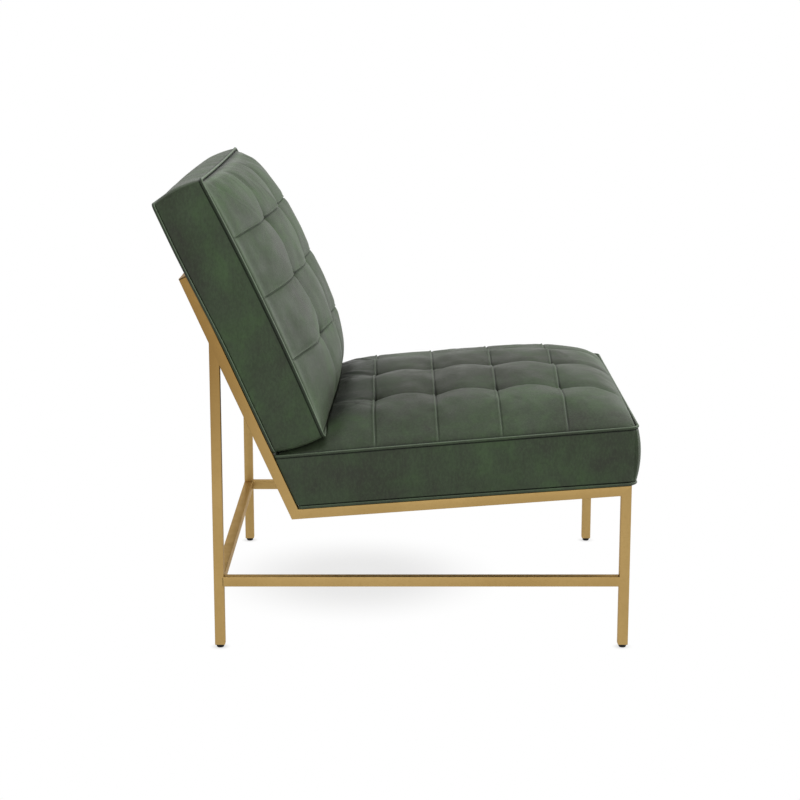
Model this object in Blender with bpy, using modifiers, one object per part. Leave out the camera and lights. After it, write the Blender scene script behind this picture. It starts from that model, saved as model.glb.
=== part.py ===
"""Armless lounge chair: a welded square-tube frame with a quilted leather seat and back.

Metres, +Z up. The chair faces -Y and its width runs along X, so +X is at the sitter's left.
The origin is on the floor, under the middle of the chair's overall width and depth.
"""
import math

import bmesh
import bpy
from mathutils import Matrix, Vector

# Clearances
GAP = 0.0003
SOFT_GAP = 0.0012

# Square tube of the frame
TUBE = 0.01905
TUBE_WALL = 0.0015
TUBE_CORNER = 0.0016

# Frame outline: outer sizes, and heights of undersides above the floor
FRAME_WIDTH = 0.7518
LEG_SPAN = 0.7914
LEGS_FORWARD = 0.4330
LEG_BOTTOM = 0.0055
STRETCHER_HEIGHT = 0.1228
RAIL_FRONT_HEIGHT = 0.3023
RAIL_FALL = math.radians(4.207)
RAIL_LENGTH = 0.6429
UPRIGHT_LEAN = math.radians(23.93)
UPRIGHT_LENGTH = 0.5013
CAP_THICKNESS = 0.002
REAR_RAIL_SETBACK = 0.030

# Plates and screws that hold the cushions
TAB_REACH = 0.024
TAB_LENGTH = 0.032
TAB_THICKNESS = 0.003
SEAT_TABS = (0.115, 0.500)
BACK_TABS = (0.215, 0.440)
SCREW_RADIUS = 0.0027
SCREW_BITE = 0.0095
SCREW_HEAD_RADIUS = 0.0055
SCREW_HEAD_HEIGHT = 0.0030
SCREW_SIDES = 10

# Levelling glides
GLIDE_TOP_RADIUS = 0.0072
GLIDE_FLOOR_RADIUS = 0.0062
GLIDE_EDGE = 0.0012
STUD_RADIUS = 0.0038
STUD_LENGTH = 0.0200
STUD_TIP = 0.0010
INSERT_HEIGHT = 0.0140
GLIDE_SIDES = 16

# Upholstery shared by both cushions
SIDE_OVERHANG = 0.0007
CUSHION_WIDTH = FRAME_WIDTH + 2 * SIDE_OVERHANG
COLUMNS = 4
WELT_RADIUS = 0.0028
WELT_SEAT = 0.0045
WELT_SIDES_LEVEL = 1
BOXING_THICKNESS = 0.0080
SIDE_BULGE = 0.0030
DRAW_IN = 0.0025
NO_DRAW = 0.0
QUILT_THICKNESS = 0.0100
SEAM_DIP = 0.0045
FOLD_DIP = 0.0035
TUFT_DIP = 0.0070
TUFT_REACH = 0.0220
GROOVE_HALF = 0.0130
GRID_STEP = 0.0550
CORE_PARTS = 8

# Seat cushion, measured from the seat rails' upper faces
SEAT_OVERHANG = 0.0102
SEAT_FRONT_CORNER = 0.0130
SEAT_REAR_CORNER = 0.0030
SEAT_DEPTH_FRONT = 0.1110
SEAT_DEPTH_REAR = 0.1045
SEAT_FRONT_LEAN = math.radians(4.7)
SEAT_CROWN = 0.0785
SEAT_FIRST_ROW = 0.1212
SEAT_ROW = 0.1205
SEAT_ROWS = 5
SEAT_FRONT_BULGE = 0.0090
SEAT_FRONT_EDGE_BULGE = 0.0072
SEAT_BOARD = 0.0150
DUST_COVER = 0.0012

# Back cushion, measured from the uprights' front faces
BACK_RISE = 0.1310
BACK_DROP = 0.0100
BACK_PEAK = 0.0080
BACK_LENGTH = 0.5110
BACK_CORNER = 0.0060
BACK_DEPTH_BOTTOM = 0.1024
BACK_DEPTH_TOP = 0.0955
BACK_BOW = 0.0060
BACK_CROWN = 0.0780
BACK_TOP_ROW = 0.1160
BACK_ROW = 0.1248
BACK_ROWS = 3
BACK_TOP_BULGE = 0.0150
BACK_TOP_EDGE_BULGE = 0.0085
BACK_BOTTOM_BULGE = 0.0050
BACK_BOARD = 0.0120
BACK_PANEL = 0.0015
SHOULDER_SLOPE = 1.3

# Crown profiles: each end of a cushion rises as (1 - v ** power) ** root
ACROSS_PROFILE = (2.4, 0.62)
SEAT_FRONT_PROFILE = (4.0, 0.48)
SEAT_REAR_PROFILE = (6.0, 0.60)
BACK_BOTTOM_PROFILE = (3.0, 0.81)
BACK_TOP_PROFILE = (4.0, 0.34)

# Finishes: name, colour, roughness, metallic
BRASS = ("satin_brass", (0.413, 0.266, 0.102), 0.38, 1.0)
STEEL = ("zinc_steel", (0.45, 0.45, 0.44), 0.40, 1.0)
NYLON = ("black_nylon", (0.012, 0.012, 0.012), 0.55, 0.0)
LEATHER = ("green_leather", (0.055, 0.080, 0.052), 0.48, 0.0)
PLYWOOD = ("plywood", (0.47, 0.33, 0.19), 0.70, 0.0)
FOAM = ("foam", (0.72, 0.68, 0.52), 0.95, 0.0)
CAMBRIC = ("black_cambric", (0.015, 0.015, 0.016), 0.95, 0.0)

SIDES = (("right", -1.0), ("left", 1.0))
ACROSS = Vector((1.0, 0.0, 0.0))


def lean(angle):
    """Direction in the chair's side plane, leaning from vertical towards the rear."""
    return Vector((0.0, math.sin(angle), math.cos(angle)))


# Side-plane layout, worked out from the sizes above
RAIL_RUN = lean(math.pi / 2 + RAIL_FALL)
RAIL_UP = lean(RAIL_FALL)
UPRIGHT_RUN = lean(UPRIGHT_LEAN)
UPRIGHT_FRONT = lean(UPRIGHT_LEAN - math.pi / 2)
UP = lean(0.0)
REARWARD = lean(math.pi / 2)
FRONT_Y = -LEGS_FORWARD
REAR_Y = FRONT_Y + LEG_SPAN
RAIL_START = Vector((0.0, FRONT_Y, RAIL_FRONT_HEIGHT))
HEEL = RAIL_START + RAIL_RUN * RAIL_LENGTH
SIDE_X = (FRAME_WIDTH - TUBE) / 2
INNER_X = FRAME_WIDTH / 2 - TUBE
CORNER_ANGLE = math.pi / 2 + UPRIGHT_LEAN - RAIL_FALL
CORNER_STEP = TUBE / math.tan(CORNER_ANGLE / 2)


def clear_scene():
    for old in list(bpy.data.objects):
        bpy.data.objects.remove(old, do_unlink=True)


def new_collection(name):
    collection = bpy.data.collections.new(name)
    bpy.context.scene.collection.children.link(collection)
    return collection


clear_scene()
CHAIR = new_collection("lounge_chair")
CUTTERS = new_collection("cutters")


def add_object(name, data, matrix, collection):
    piece = bpy.data.objects.new(name, data)
    collection.objects.link(piece)
    piece.matrix_world = matrix
    return piece


def add_mesh(name, bm, matrix, collection):
    mesh = bpy.data.meshes.new(name)
    bm.to_mesh(mesh)
    bm.free()
    return add_object(name, mesh, matrix, collection)


def paint(piece, finish):
    label, colour, roughness, metallic = finish
    material = bpy.data.materials.new(f"{piece.name}_{label}")
    material.use_nodes = True
    shader = material.node_tree.nodes["Principled BSDF"]
    shader.inputs["Base Color"].default_value = (*colour, 1.0)
    shader.inputs["Roughness"].default_value = roughness
    shader.inputs["Metallic"].default_value = metallic
    material.diffuse_color = (*colour, 1.0)
    piece.data.materials.append(material)
    return piece


def smooth(piece, angle=math.radians(40)):
    piece.data.shade_smooth()
    piece.data.set_sharp_from_angle(angle=angle)
    return piece


def placed(origin, x_axis, z_axis):
    """Matrix of a frame with its origin, its X axis and its Z axis in the world."""
    y_axis = z_axis.cross(x_axis)
    turn = Matrix((x_axis, y_axis, z_axis)).transposed().to_4x4()
    return Matrix.Translation(origin) @ turn


def box_mesh(size, centre):
    bm = bmesh.new()
    bmesh.ops.create_cube(bm, size=1.0)
    bmesh.ops.scale(bm, vec=size, verts=bm.verts)
    bmesh.ops.translate(bm, vec=centre, verts=bm.verts)
    return bm


def cut(piece, cutter):
    cutter.hide_render = True
    cutter.display_type = "WIRE"
    boolean = piece.modifiers.new(f"cut_{cutter.name}", "BOOLEAN")
    boolean.operation = "DIFFERENCE"
    boolean.solver = "EXACT"
    boolean.object = cutter


def box_piece(name, size, centre, matrix, finish):
    return paint(add_mesh(name, box_mesh(size, centre), matrix, CHAIR), finish)


def drill(piece, centre, radius, depth, matrix):
    """Cut a round hole along the local Z axis, centred at a point of that frame."""
    bm = bmesh.new()
    bmesh.ops.create_cone(
        bm, cap_ends=True, segments=GLIDE_SIDES, radius1=radius, radius2=radius, depth=depth
    )
    bmesh.ops.translate(bm, vec=centre, verts=bm.verts)
    cut(piece, add_mesh(f"{piece.name}_drill", bm, matrix, CUTTERS))


def turned(name, profile, matrix, sides, finish):
    """Turn a profile of (radius, height) points, given from its top to its bottom."""
    bm = bmesh.new()
    points = [bm.verts.new((radius, 0.0, height)) for radius, height in profile]
    for upper, lower in zip(points, points[1:]):
        bm.edges.new((upper, lower))
    piece = add_mesh(name, bm, matrix, CHAIR)
    screw = piece.modifiers.new("turn", "SCREW")
    screw.axis = "Z"
    screw.steps = sides
    screw.render_steps = sides
    screw.use_merge_vertices = True
    screw.merge_threshold = 0.00001
    return paint(piece, finish)


def trim(bm, matrix, point, normal):
    """Remove what lies beyond a world plane, and close the cut."""
    inverse = matrix.inverted()
    bmesh.ops.bisect_plane(
        bm,
        geom=bm.verts[:] + bm.edges[:] + bm.faces[:],
        plane_co=inverse @ point,
        plane_no=inverse.to_3x3() @ normal,
        clear_outer=True,
    )
    rim = [edge for edge in bm.edges if edge.is_boundary]
    bmesh.ops.holes_fill(bm, edges=rim, sides=0)


def tube(name, start, run, length, face, cuts=()):
    """Hollow square tube from a point on its centre line, with its ends trimmed by planes."""
    matrix = placed(start, face, run)
    bm = box_mesh((TUBE, TUBE, length), (0.0, 0.0, length / 2))
    long_edges = [edge for edge in bm.edges if abs(edge.verts[0].co.z - edge.verts[1].co.z) > TUBE_CORNER]
    bmesh.ops.bevel(bm, geom=long_edges, offset=TUBE_CORNER, segments=2, profile=0.5, affect="EDGES")
    for point, normal in cuts:
        trim(bm, matrix, point, normal)
    piece = paint(add_mesh(name, bm, matrix, CHAIR), BRASS)
    bore = TUBE - 2 * TUBE_WALL
    core = box_mesh((bore, bore, length + 2 * TUBE), (0.0, 0.0, length / 2))
    cut(piece, add_mesh(f"{name}_bore", core, matrix, CUTTERS))
    return piece


def mitre(corner, first, second, offset):
    """Plane of a mitre at an outer corner, for the member that runs along `first`."""
    normal = (second - first).normalized()
    return corner - normal * offset, normal


def side_frame(side, sign):
    """Legs, seat rail, upright and low stretcher of one side."""
    across = ACROSS * (sign * SIDE_X)
    down = -UP
    front_corner = RAIL_START + UP * (TUBE / math.cos(RAIL_FALL))
    half_gap = GAP / 2

    leg_top = front_corner.z + TUBE
    leg_start = across + Vector((0.0, FRONT_Y + TUBE / 2, LEG_BOTTOM))
    leg_cut = mitre(front_corner, down, RAIL_RUN, half_gap)
    tube(f"front_leg_{side}", leg_start, UP, leg_top - LEG_BOTTOM, ACROSS, [leg_cut])

    rail_start = across + RAIL_START + RAIL_UP * (TUBE / 2) - RAIL_RUN * TUBE
    rail_cuts = [
        mitre(front_corner, RAIL_RUN, down, half_gap),
        mitre(HEEL, -RAIL_RUN, UPRIGHT_RUN, half_gap),
    ]
    tube(f"seat_rail_{side}", rail_start, RAIL_RUN, RAIL_LENGTH + 2 * TUBE, ACROSS, rail_cuts)

    upright_start = across + HEEL + UPRIGHT_FRONT * (TUBE / 2) - UPRIGHT_RUN * TUBE
    tube_top = UPRIGHT_LENGTH - CAP_THICKNESS - GAP
    heel_cut = mitre(HEEL, UPRIGHT_RUN, -RAIL_RUN, half_gap)
    tube(f"back_upright_{side}", upright_start, UPRIGHT_RUN, tube_top + TUBE, ACROSS, [heel_cut])
    cap_frame = placed(across + HEEL + UPRIGHT_FRONT * (TUBE / 2), ACROSS, UPRIGHT_RUN)
    cap_centre = (0.0, 0.0, UPRIGHT_LENGTH - CAP_THICKNESS / 2)
    box_piece(f"upright_cap_{side}", (TUBE, TUBE, CAP_THICKNESS), cap_centre, cap_frame, BRASS)

    rear_start = across + Vector((0.0, REAR_Y - TUBE / 2, LEG_BOTTOM))
    slope_cut = (HEEL - UPRIGHT_FRONT * GAP, UPRIGHT_FRONT)
    rear_height = (HEEL + UPRIGHT_RUN * UPRIGHT_LENGTH).z - LEG_BOTTOM
    tube(f"rear_leg_{side}", rear_start, UP, rear_height, ACROSS, [slope_cut])

    clear = TUBE + GAP
    low_start = across + Vector((0.0, FRONT_Y + clear, STRETCHER_HEIGHT + TUBE / 2))
    tube(f"side_stretcher_{side}", low_start, REARWARD, LEG_SPAN - 2 * clear, ACROSS)


def cross_rail(name, centre, face):
    """Tube across the frame between the inner faces of the two sides."""
    reach = INNER_X - GAP
    tube(name, centre - ACROSS * reach, ACROSS, 2 * reach, face)


def cross_rails():
    half = TUBE / 2
    rear_centre = Vector((0.0, REAR_Y - half, STRETCHER_HEIGHT + half))
    cross_rail("rear_stretcher", rear_centre, UP)
    top = UPRIGHT_LENGTH - half
    cross_rail("top_back_rail", HEEL + UPRIGHT_RUN * top + UPRIGHT_FRONT * half, UPRIGHT_RUN)
    rail_middle = RAIL_START + RAIL_UP * half
    cross_rail("front_seat_rail", rail_middle + RAIL_RUN * half, RAIL_UP)
    cross_rail("rear_seat_rail", rail_middle + RAIL_RUN * (RAIL_LENGTH - REAR_RAIL_SETBACK), RAIL_UP)


def feet():
    """Threaded insert and levelling glide in the lower end of each leg."""
    bore = TUBE - 2 * (TUBE_WALL + GAP)
    places = (("front", FRONT_Y + TUBE / 2), ("rear", REAR_Y - TUBE / 2))
    glide_top = LEG_BOTTOM - GAP
    stud_top = glide_top + STUD_LENGTH
    profile = [
        (0.0, stud_top),
        (STUD_RADIUS - STUD_TIP, stud_top),
        (STUD_RADIUS, stud_top - STUD_TIP),
        (STUD_RADIUS, glide_top),
        (GLIDE_TOP_RADIUS, glide_top),
        (GLIDE_TOP_RADIUS, GLIDE_EDGE),
        (GLIDE_FLOOR_RADIUS, 0.0),
        (0.0, 0.0),
    ]
    for side, sign in SIDES:
        for end, y in places:
            foot = Matrix.Translation((sign * SIDE_X, y, 0.0))
            centre = (0.0, 0.0, LEG_BOTTOM + INSERT_HEIGHT / 2)
            insert = box_piece(f"foot_insert_{end}_{side}", (bore, bore, INSERT_HEIGHT), centre, foot, STEEL)
            drill(insert, centre, STUD_RADIUS + GAP, 2 * INSERT_HEIGHT, foot)
            smooth(turned(f"glide_{end}_{side}", profile, foot, GLIDE_SIDES, NYLON))


class Pad:
    """A cushion in its own frame: x across, y along its length, z out from what carries it."""

    def __init__(
        self, matrix, near, far, corners, depths, leans, bulges, draws, profiles, crown, bow, seams, press, rest
    ):
        self.matrix = matrix
        self.near = near
        self.far = far
        self.corners = corners
        self.depths = depths
        self.leans = leans
        self.bulges = bulges
        self.draws = draws
        self.profiles = profiles
        self.crown = crown
        self.bow = bow
        self.seams = seams
        self.press = press
        self.rest = rest
        self.half = CUSHION_WIDTH / 2 - WELT_SEAT
        self.columns = [CUSHION_WIDTH * (i / COLUMNS - 0.5) for i in range(1, COLUMNS)]

    def place_along(self, y):
        """Where a point lies along the cushion, from -1 at its near end to 1 at its far end."""
        return 2 * (y - self.near) / (self.far - self.near) - 1

    def depth(self, y):
        """Height of the welt plane at a place along the cushion."""
        v = self.place_along(y)
        level = self.depths[0] + (self.depths[1] - self.depths[0]) * (v + 1) / 2
        return level + self.bow * (1 - v * v)

    def dome(self, x, y):
        """Share of the crown at a point of the panel, 0 along its edge."""
        v = self.place_along(y)
        power, root = self.profiles[1] if v > 0 else self.profiles[0]
        lengthwise = max(1 - abs(v) ** power, 0.0) ** root
        power, root = ACROSS_PROFILE
        crosswise = max(1 - abs(x / self.half) ** power, 0.0) ** root
        return lengthwise * crosswise

    def dip(self, x, y):
        """Depth of the sewn seams, the folds between tufts and the tufts below the crown."""
        seam = min(abs(y - seam) for seam in self.seams)
        fold = min(abs(x - column) for column in self.columns)
        seam_dip = SEAM_DIP * max(1 - seam / GROOVE_HALF, 0.0)
        fold_dip = FOLD_DIP * max(1 - fold / GROOVE_HALF, 0.0)
        tuft_dip = TUFT_DIP * math.exp(-(seam * seam + fold * fold) / TUFT_REACH ** 2)
        return (max(seam_dip, fold_dip) + tuft_dip) * min(2 * self.dome(x, y), 1.0)

    def outline(self, x, y, grow):
        """Round the panel's corners in plan, draw its sides in, and grow its edge outwards."""
        middle = (self.near + self.far) / 2
        half_length = (self.far - self.near) / 2
        run = y - middle
        end = 1 if run > 0 else 0
        corner = self.corners[end]
        corner_x = max(abs(x) - (self.half - corner), 0.0)
        corner_y = max(abs(run) - (half_length - corner), 0.0)
        out_x = grow if corner_x >= corner - GAP and corner_y == 0 else 0.0
        out_y = grow if corner_y >= corner - GAP and corner_x == 0 else 0.0
        if corner_x > 0 and corner_y > 0:
            reach = math.hypot(corner_x, corner_y)
            scale = max(corner_x, corner_y) / reach
            out_x = corner_x * (scale - 1) + grow * corner_x / reach
            out_y = corner_y * (scale - 1) + grow * corner_y / reach
        along = run / half_length
        side = x / self.half
        new_x = x + out_x * math.copysign(1.0, x) - DRAW_IN * side * (1 - along * along)
        new_y = y + out_y * math.copysign(1.0, run) - self.draws[end] * along * (1 - side * side)
        return new_x, new_y

    def sheared(self, y, height):
        """Move a point along the cushion so that its two ends keep their leans."""
        share = (self.place_along(y) + 1) / 2
        drop = self.depth(y) - height
        return drop * (self.leans[0] * (1 - share) + self.leans[1] * share)

    def on_panel(self, x, y, inset=0.0, quilted=True):
        """Point of the crowned panel, or of the smooth core that lies an inset below it."""
        height = self.depth(y) + max(self.crown - inset, 0.0) * self.dome(x, y) - inset
        if quilted:
            height -= self.dip(x, y)
        limit = self.press(y) - (0.0 if quilted else QUILT_THICKNESS)
        new_x, new_y = self.outline(x, y, 0.0)
        return Vector((new_x, new_y, min(height, limit)))

    def on_boxing(self, x, y, height, grow, bulge):
        """Point of the boxing that runs round the cushion."""
        along = self.place_along(y)
        side = abs(x) / self.half
        middle, edge = self.bulges[1] if along > 0 else self.bulges[0]
        out = grow
        if bulge:
            out += edge + (middle - edge) * (1 - side * side) if abs(along) > 1 - GAP else SIDE_BULGE
        new_x, new_y = self.outline(x, y, out)
        return Vector((new_x, new_y + self.sheared(y, height), height))


def grid_lines(start, end, corners, seams):
    """Grid places along one direction: close together at the ends and beside each seam."""
    head, tail = corners
    lines = [start, start + head / 3, start + head]
    stops = [start + head - GROOVE_HALF] + list(seams) + [end - tail + GROOVE_HALF]
    for first, second in zip(stops, stops[1:]):
        span = second - first - 2 * GROOVE_HALF
        parts = max(round(span / GRID_STEP), 1)
        lines += [first + GROOVE_HALF + span * i / parts for i in range(1, parts)]
        if second != stops[-1]:
            lines += [second - GROOVE_HALF, second, second + GROOVE_HALF]
    lines += [end - tail, end - tail / 3, end]
    return lines


def snapped(lines, place):
    """Move the nearest inner grid line to a place along the cushion."""
    nearest = min(lines[2:-2], key=lambda line: abs(line - place))
    return [place if line == nearest else line for line in lines]


def core_lines(start, end):
    """Grid places of a smooth core, closer together towards both ends."""
    middle = (start + end) / 2
    half = (end - start) / 2
    return [middle - half * math.cos(math.pi * i / CORE_PARTS) for i in range(CORE_PARTS + 1)]


def block_mesh(xs, ys, rows, shape):
    """Closed block from a grid: the grid is its panel, and its edge is carried down in rows."""
    bm = bmesh.new()
    bmesh.ops.create_grid(bm, x_segments=len(xs) - 1, y_segments=len(ys) - 1, size=1.0)
    for vert in bm.verts:
        column = round((vert.co.x + 1) / 2 * (len(xs) - 1))
        line = round((vert.co.y + 1) / 2 * (len(ys) - 1))
        vert.co = (xs[column], ys[line], 0.0)
    edges = [edge for edge in bm.edges if edge.is_boundary]
    for row in range(1, rows + 1):
        made = bmesh.ops.extrude_edge_only(bm, edges=edges)["geom"]
        verts = [item for item in made if isinstance(item, bmesh.types.BMVert)]
        edges = [item for item in made if isinstance(item, bmesh.types.BMEdge) and item.is_boundary]
        for vert in verts:
            vert.co.z = row
    bmesh.ops.holes_fill(bm, edges=edges, sides=0)
    for vert in bm.verts:
        vert.co = shape(vert.co.x, vert.co.y, round(vert.co.z))
    bmesh.ops.recalc_face_normals(bm, faces=bm.faces)
    if bm.calc_volume(signed=True) < 0:
        bmesh.ops.reverse_faces(bm, faces=bm.faces)
    return bm


def cover_mesh(pad, rim):
    """Outer form of a cover: quilted panel, boxing, and a seat for a welt along each edge."""
    top_drop = WELT_SEAT

    def shape(x, y, row):
        depth = pad.depth(y)
        rows = (
            None,
            (depth - top_drop, WELT_SEAT, False),
            ((depth + rim) / 2, WELT_SEAT, True),
            (rim + WELT_SEAT, WELT_SEAT, False),
            (rim, 0.0, False),
        )
        if row == 0:
            return pad.on_panel(x, y)
        height, grow, bulge = rows[row]
        return pad.on_boxing(x, y, height, grow, bulge)

    widest = max(pad.corners)
    xs = grid_lines(-pad.half, pad.half, (widest, widest), pad.columns)
    ys = grid_lines(pad.near, pad.far, pad.corners, pad.seams)
    for place in pad.rest:
        ys = snapped(ys, place)
    return block_mesh(xs, ys, 4, shape)


def core_mesh(pad, floor, inset, shrink):
    """Smooth inner form of a cushion, down to a floor, drawn in by `shrink` all round."""

    def shape(x, y, row):
        if row == 0:
            point = pad.on_panel(x, y, inset, quilted=False)
            point.x, point.y = pad.outline(x, y, 0.0)
        else:
            point = pad.on_boxing(x, y, floor, 0.0, False)
        middle = (pad.near + pad.far) / 2
        point.x *= 1 - shrink / pad.half
        point.y -= shrink * (y - middle) / (pad.far - middle)
        return point

    xs = core_lines(-pad.half, pad.half)
    ys = core_lines(pad.near, pad.far)
    bm = block_mesh(xs, ys, 1, shape)
    bmesh.ops.triangulate(bm, faces=bm.faces, quad_method="FIXED")
    return bm


def welt(name, pad, height_of, grow):
    """Corded edge that runs round a cushion as one closed loop."""
    head, tail = pad.corners

    def across(radius):
        middle = [pad.half * share for share in (-0.5, 0.0, 0.5)]
        rise = [-pad.half, -pad.half + radius / 3, -pad.half + radius]
        return rise + middle + [-x for x in reversed(rise)]

    ys = [pad.near, pad.near + head / 3, pad.near + head]
    ys += [pad.near + (pad.far - pad.near) * share for share in (0.2, 0.4, 0.6, 0.8)]
    ys += [pad.far - tail, pad.far - tail / 3, pad.far]
    loop = [(x, pad.near) for x in across(head)[:-1]]
    loop += [(pad.half, y) for y in ys[:-1]]
    loop += [(x, pad.far) for x in reversed(across(tail)[1:])]
    loop += [(-pad.half, y) for y in reversed(ys[1:])]
    curve = bpy.data.curves.new(name, "CURVE")
    curve.dimensions = "3D"
    curve.bevel_depth = WELT_RADIUS
    curve.bevel_resolution = WELT_SIDES_LEVEL
    spline = curve.splines.new("POLY")
    spline.points.add(len(loop) - 1)
    for point, (x, y) in zip(spline.points, loop):
        point.co = (*pad.on_boxing(x, y, height_of(y), grow, False), 1.0)
    spline.use_cyclic_u = True
    return paint(add_object(name, curve, pad.matrix, CHAIR), LEATHER)


WELT_OFFSET = (WELT_RADIUS + 1.5 * GAP) * math.sqrt(0.5)
WELT_GROW = WELT_SEAT / 2 + WELT_OFFSET
RIM = WELT_RADIUS + 2 * GAP + WELT_OFFSET - WELT_SEAT / 2
RAIL_TO_UPRIGHT = UPRIGHT_LEAN - RAIL_FALL
INNER_CORNER = HEEL + UPRIGHT_RUN * CORNER_STEP + UPRIGHT_FRONT * TUBE


def seat_frame():
    """Frame on the seat rails' upper faces, with its origin above the front legs' front faces."""
    origin = RAIL_START + RAIL_UP * TUBE
    return placed(origin, ACROSS, RAIL_UP)


def back_frame():
    """Frame on the uprights' front faces, with its origin level with the heel."""
    return placed(HEEL + UPRIGHT_FRONT * TUBE, ACROSS, UPRIGHT_FRONT)


def back_underside():
    """Rear and front ends of the back cushion's underside, in the seat's frame."""
    to_seat = seat_frame().inverted() @ back_frame()
    low = BACK_RISE - WELT_RADIUS - BACK_BOTTOM_BULGE
    rear = to_seat @ Vector((0.0, low, 0.0))
    front = to_seat @ Vector((0.0, low - BACK_DROP, BACK_DEPTH_BOTTOM + WELT_RADIUS))
    return rear, front


def under_the_back(y):
    """Greatest height of the seat at a place along it, below the back cushion that rests there."""
    rear, front = back_underside()
    slope = (front.z - rear.z) / (front.y - rear.y)
    below = rear.z + slope * (y - rear.y)
    shoulder = front.z + SHOULDER_SLOPE * (front.y - y)
    return (below if y > front.y else shoulder) - SOFT_GAP


def seat_pad():
    front = -SEAT_OVERHANG - SEAT_DEPTH_FRONT * math.tan(SEAT_FRONT_LEAN) + WELT_SEAT
    to_seat = seat_frame().inverted()
    corner = (to_seat @ INNER_CORNER).y
    clearance = WELT_SEAT + SIDE_BULGE + SOFT_GAP / math.cos(RAIL_TO_UPRIGHT)
    rear = corner + SEAT_DEPTH_REAR * math.tan(RAIL_TO_UPRIGHT) - clearance
    return Pad(
        matrix=seat_frame(),
        near=front,
        far=rear,
        corners=(SEAT_FRONT_CORNER, SEAT_REAR_CORNER),
        depths=(SEAT_DEPTH_FRONT, SEAT_DEPTH_REAR),
        leans=(math.tan(SEAT_FRONT_LEAN), -math.tan(RAIL_TO_UPRIGHT)),
        bulges=((SEAT_FRONT_BULGE, SEAT_FRONT_EDGE_BULGE), (SIDE_BULGE, SIDE_BULGE)),
        draws=(NO_DRAW, DRAW_IN),
        profiles=(SEAT_FRONT_PROFILE, SEAT_REAR_PROFILE),
        crown=SEAT_CROWN,
        bow=0.0,
        seams=[front + SEAT_FIRST_ROW + SEAT_ROW * i for i in range(SEAT_ROWS)],
        press=under_the_back,
        rest=[back_underside()[1].y],
    )


def back_pad():
    bottom = BACK_RISE - BACK_DROP + WELT_SEAT
    top = BACK_RISE + BACK_LENGTH + BACK_PEAK - WELT_SEAT
    return Pad(
        matrix=back_frame(),
        near=bottom,
        far=top,
        corners=(BACK_CORNER, BACK_CORNER),
        depths=(BACK_DEPTH_BOTTOM, BACK_DEPTH_TOP),
        leans=(BACK_DROP / BACK_DEPTH_BOTTOM, -BACK_PEAK / BACK_DEPTH_TOP),
        bulges=((BACK_BOTTOM_BULGE, BACK_BOTTOM_BULGE), (BACK_TOP_BULGE, BACK_TOP_EDGE_BULGE)),
        draws=(DRAW_IN, DRAW_IN),
        profiles=(BACK_BOTTOM_PROFILE, BACK_TOP_PROFILE),
        crown=BACK_CROWN,
        bow=BACK_BOW,
        seams=[top - BACK_TOP_ROW - BACK_ROW * i for i in reversed(range(BACK_ROWS))],
        press=lambda y: math.inf,
        rest=[],
    )


def upholster(name, pad, top_welt, low_welt, board_bottom, board_thickness):
    """Cover, foam, board and welts of one cushion; returns the board."""
    inside = BOXING_THICKNESS - WELT_SEAT
    cover = paint(add_mesh(f"{name}_cover", cover_mesh(pad, RIM), pad.matrix, CHAIR), LEATHER)
    hollow = core_mesh(pad, -BOXING_THICKNESS, QUILT_THICKNESS, inside)
    cut(cover, add_mesh(f"{name}_hollow", hollow, pad.matrix, CUTTERS))
    smooth(cover)

    foam_floor = board_bottom + board_thickness + GAP
    foam = core_mesh(pad, foam_floor, QUILT_THICKNESS + GAP, inside + GAP)
    smooth(paint(add_mesh(f"{name}_foam", foam, pad.matrix, CHAIR), FOAM))

    lowest = pad.on_boxing(0.0, pad.near, board_bottom, 0.0, False).y
    highest = pad.on_boxing(0.0, pad.far, board_bottom, 0.0, False).y
    edge = inside + GAP
    board_size = (
        2 * (pad.half - DRAW_IN - max(pad.corners) / 4 - edge),
        highest - lowest - max(pad.corners) / 2 - 2 * edge,
        board_thickness,
    )
    board_centre = (0.0, (lowest + highest) / 2, board_bottom + board_thickness / 2)
    board = box_piece(f"{name}_board", board_size, board_centre, pad.matrix, PLYWOOD)

    def top_height(y):
        return pad.depth(y) - WELT_SEAT / 2 + WELT_OFFSET

    def low_height(y):
        return WELT_RADIUS + GAP

    smooth_curve(welt(top_welt, pad, top_height, WELT_GROW))
    smooth_curve(welt(low_welt, pad, low_height, WELT_GROW))
    return board


def smooth_curve(piece):
    for spline in piece.data.splines:
        spline.use_smooth = True


def screw_profile(length):
    """Pan-head screw with its shank up and the underside of its head at height 0."""
    return [
        (0.0, length),
        (SCREW_RADIUS / 2, length),
        (SCREW_RADIUS, length - SCREW_RADIUS),
        (SCREW_RADIUS, 0.0),
        (SCREW_HEAD_RADIUS, 0.0),
        (SCREW_HEAD_RADIUS, -SCREW_HEAD_HEIGHT / 2),
        (SCREW_HEAD_RADIUS / 2, -SCREW_HEAD_HEIGHT),
        (0.0, -SCREW_HEAD_HEIGHT),
    ]


def fixings(name, matrix, places, tab_top, board, drilled):
    """Welded tabs inside the frame and the screws that go up through them into a board."""
    length = TAB_THICKNESS + SCREW_BITE - tab_top
    for side, sign in SIDES:
        for number, y in enumerate(places, start=1):
            x = sign * (INNER_X - GAP - TAB_REACH / 2)
            centre = (x, y, tab_top - TAB_THICKNESS / 2)
            label = f"{number}_{side}"
            tab = box_piece(f"{name}_tab_{label}", (TAB_REACH, TAB_LENGTH, TAB_THICKNESS), centre, matrix, BRASS)
            hole = SCREW_RADIUS + GAP
            drill(tab, centre, hole, 2 * TAB_THICKNESS, matrix)
            head = matrix @ Matrix.Translation((x, y, tab_top - TAB_THICKNESS - GAP))
            smooth(turned(f"{name}_screw_{label}", screw_profile(length), head, SCREW_SIDES, STEEL))
            for piece in (board, drilled):
                drill(piece, (x, y, 0.0), hole, 2 * (length + GAP), matrix)


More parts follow.
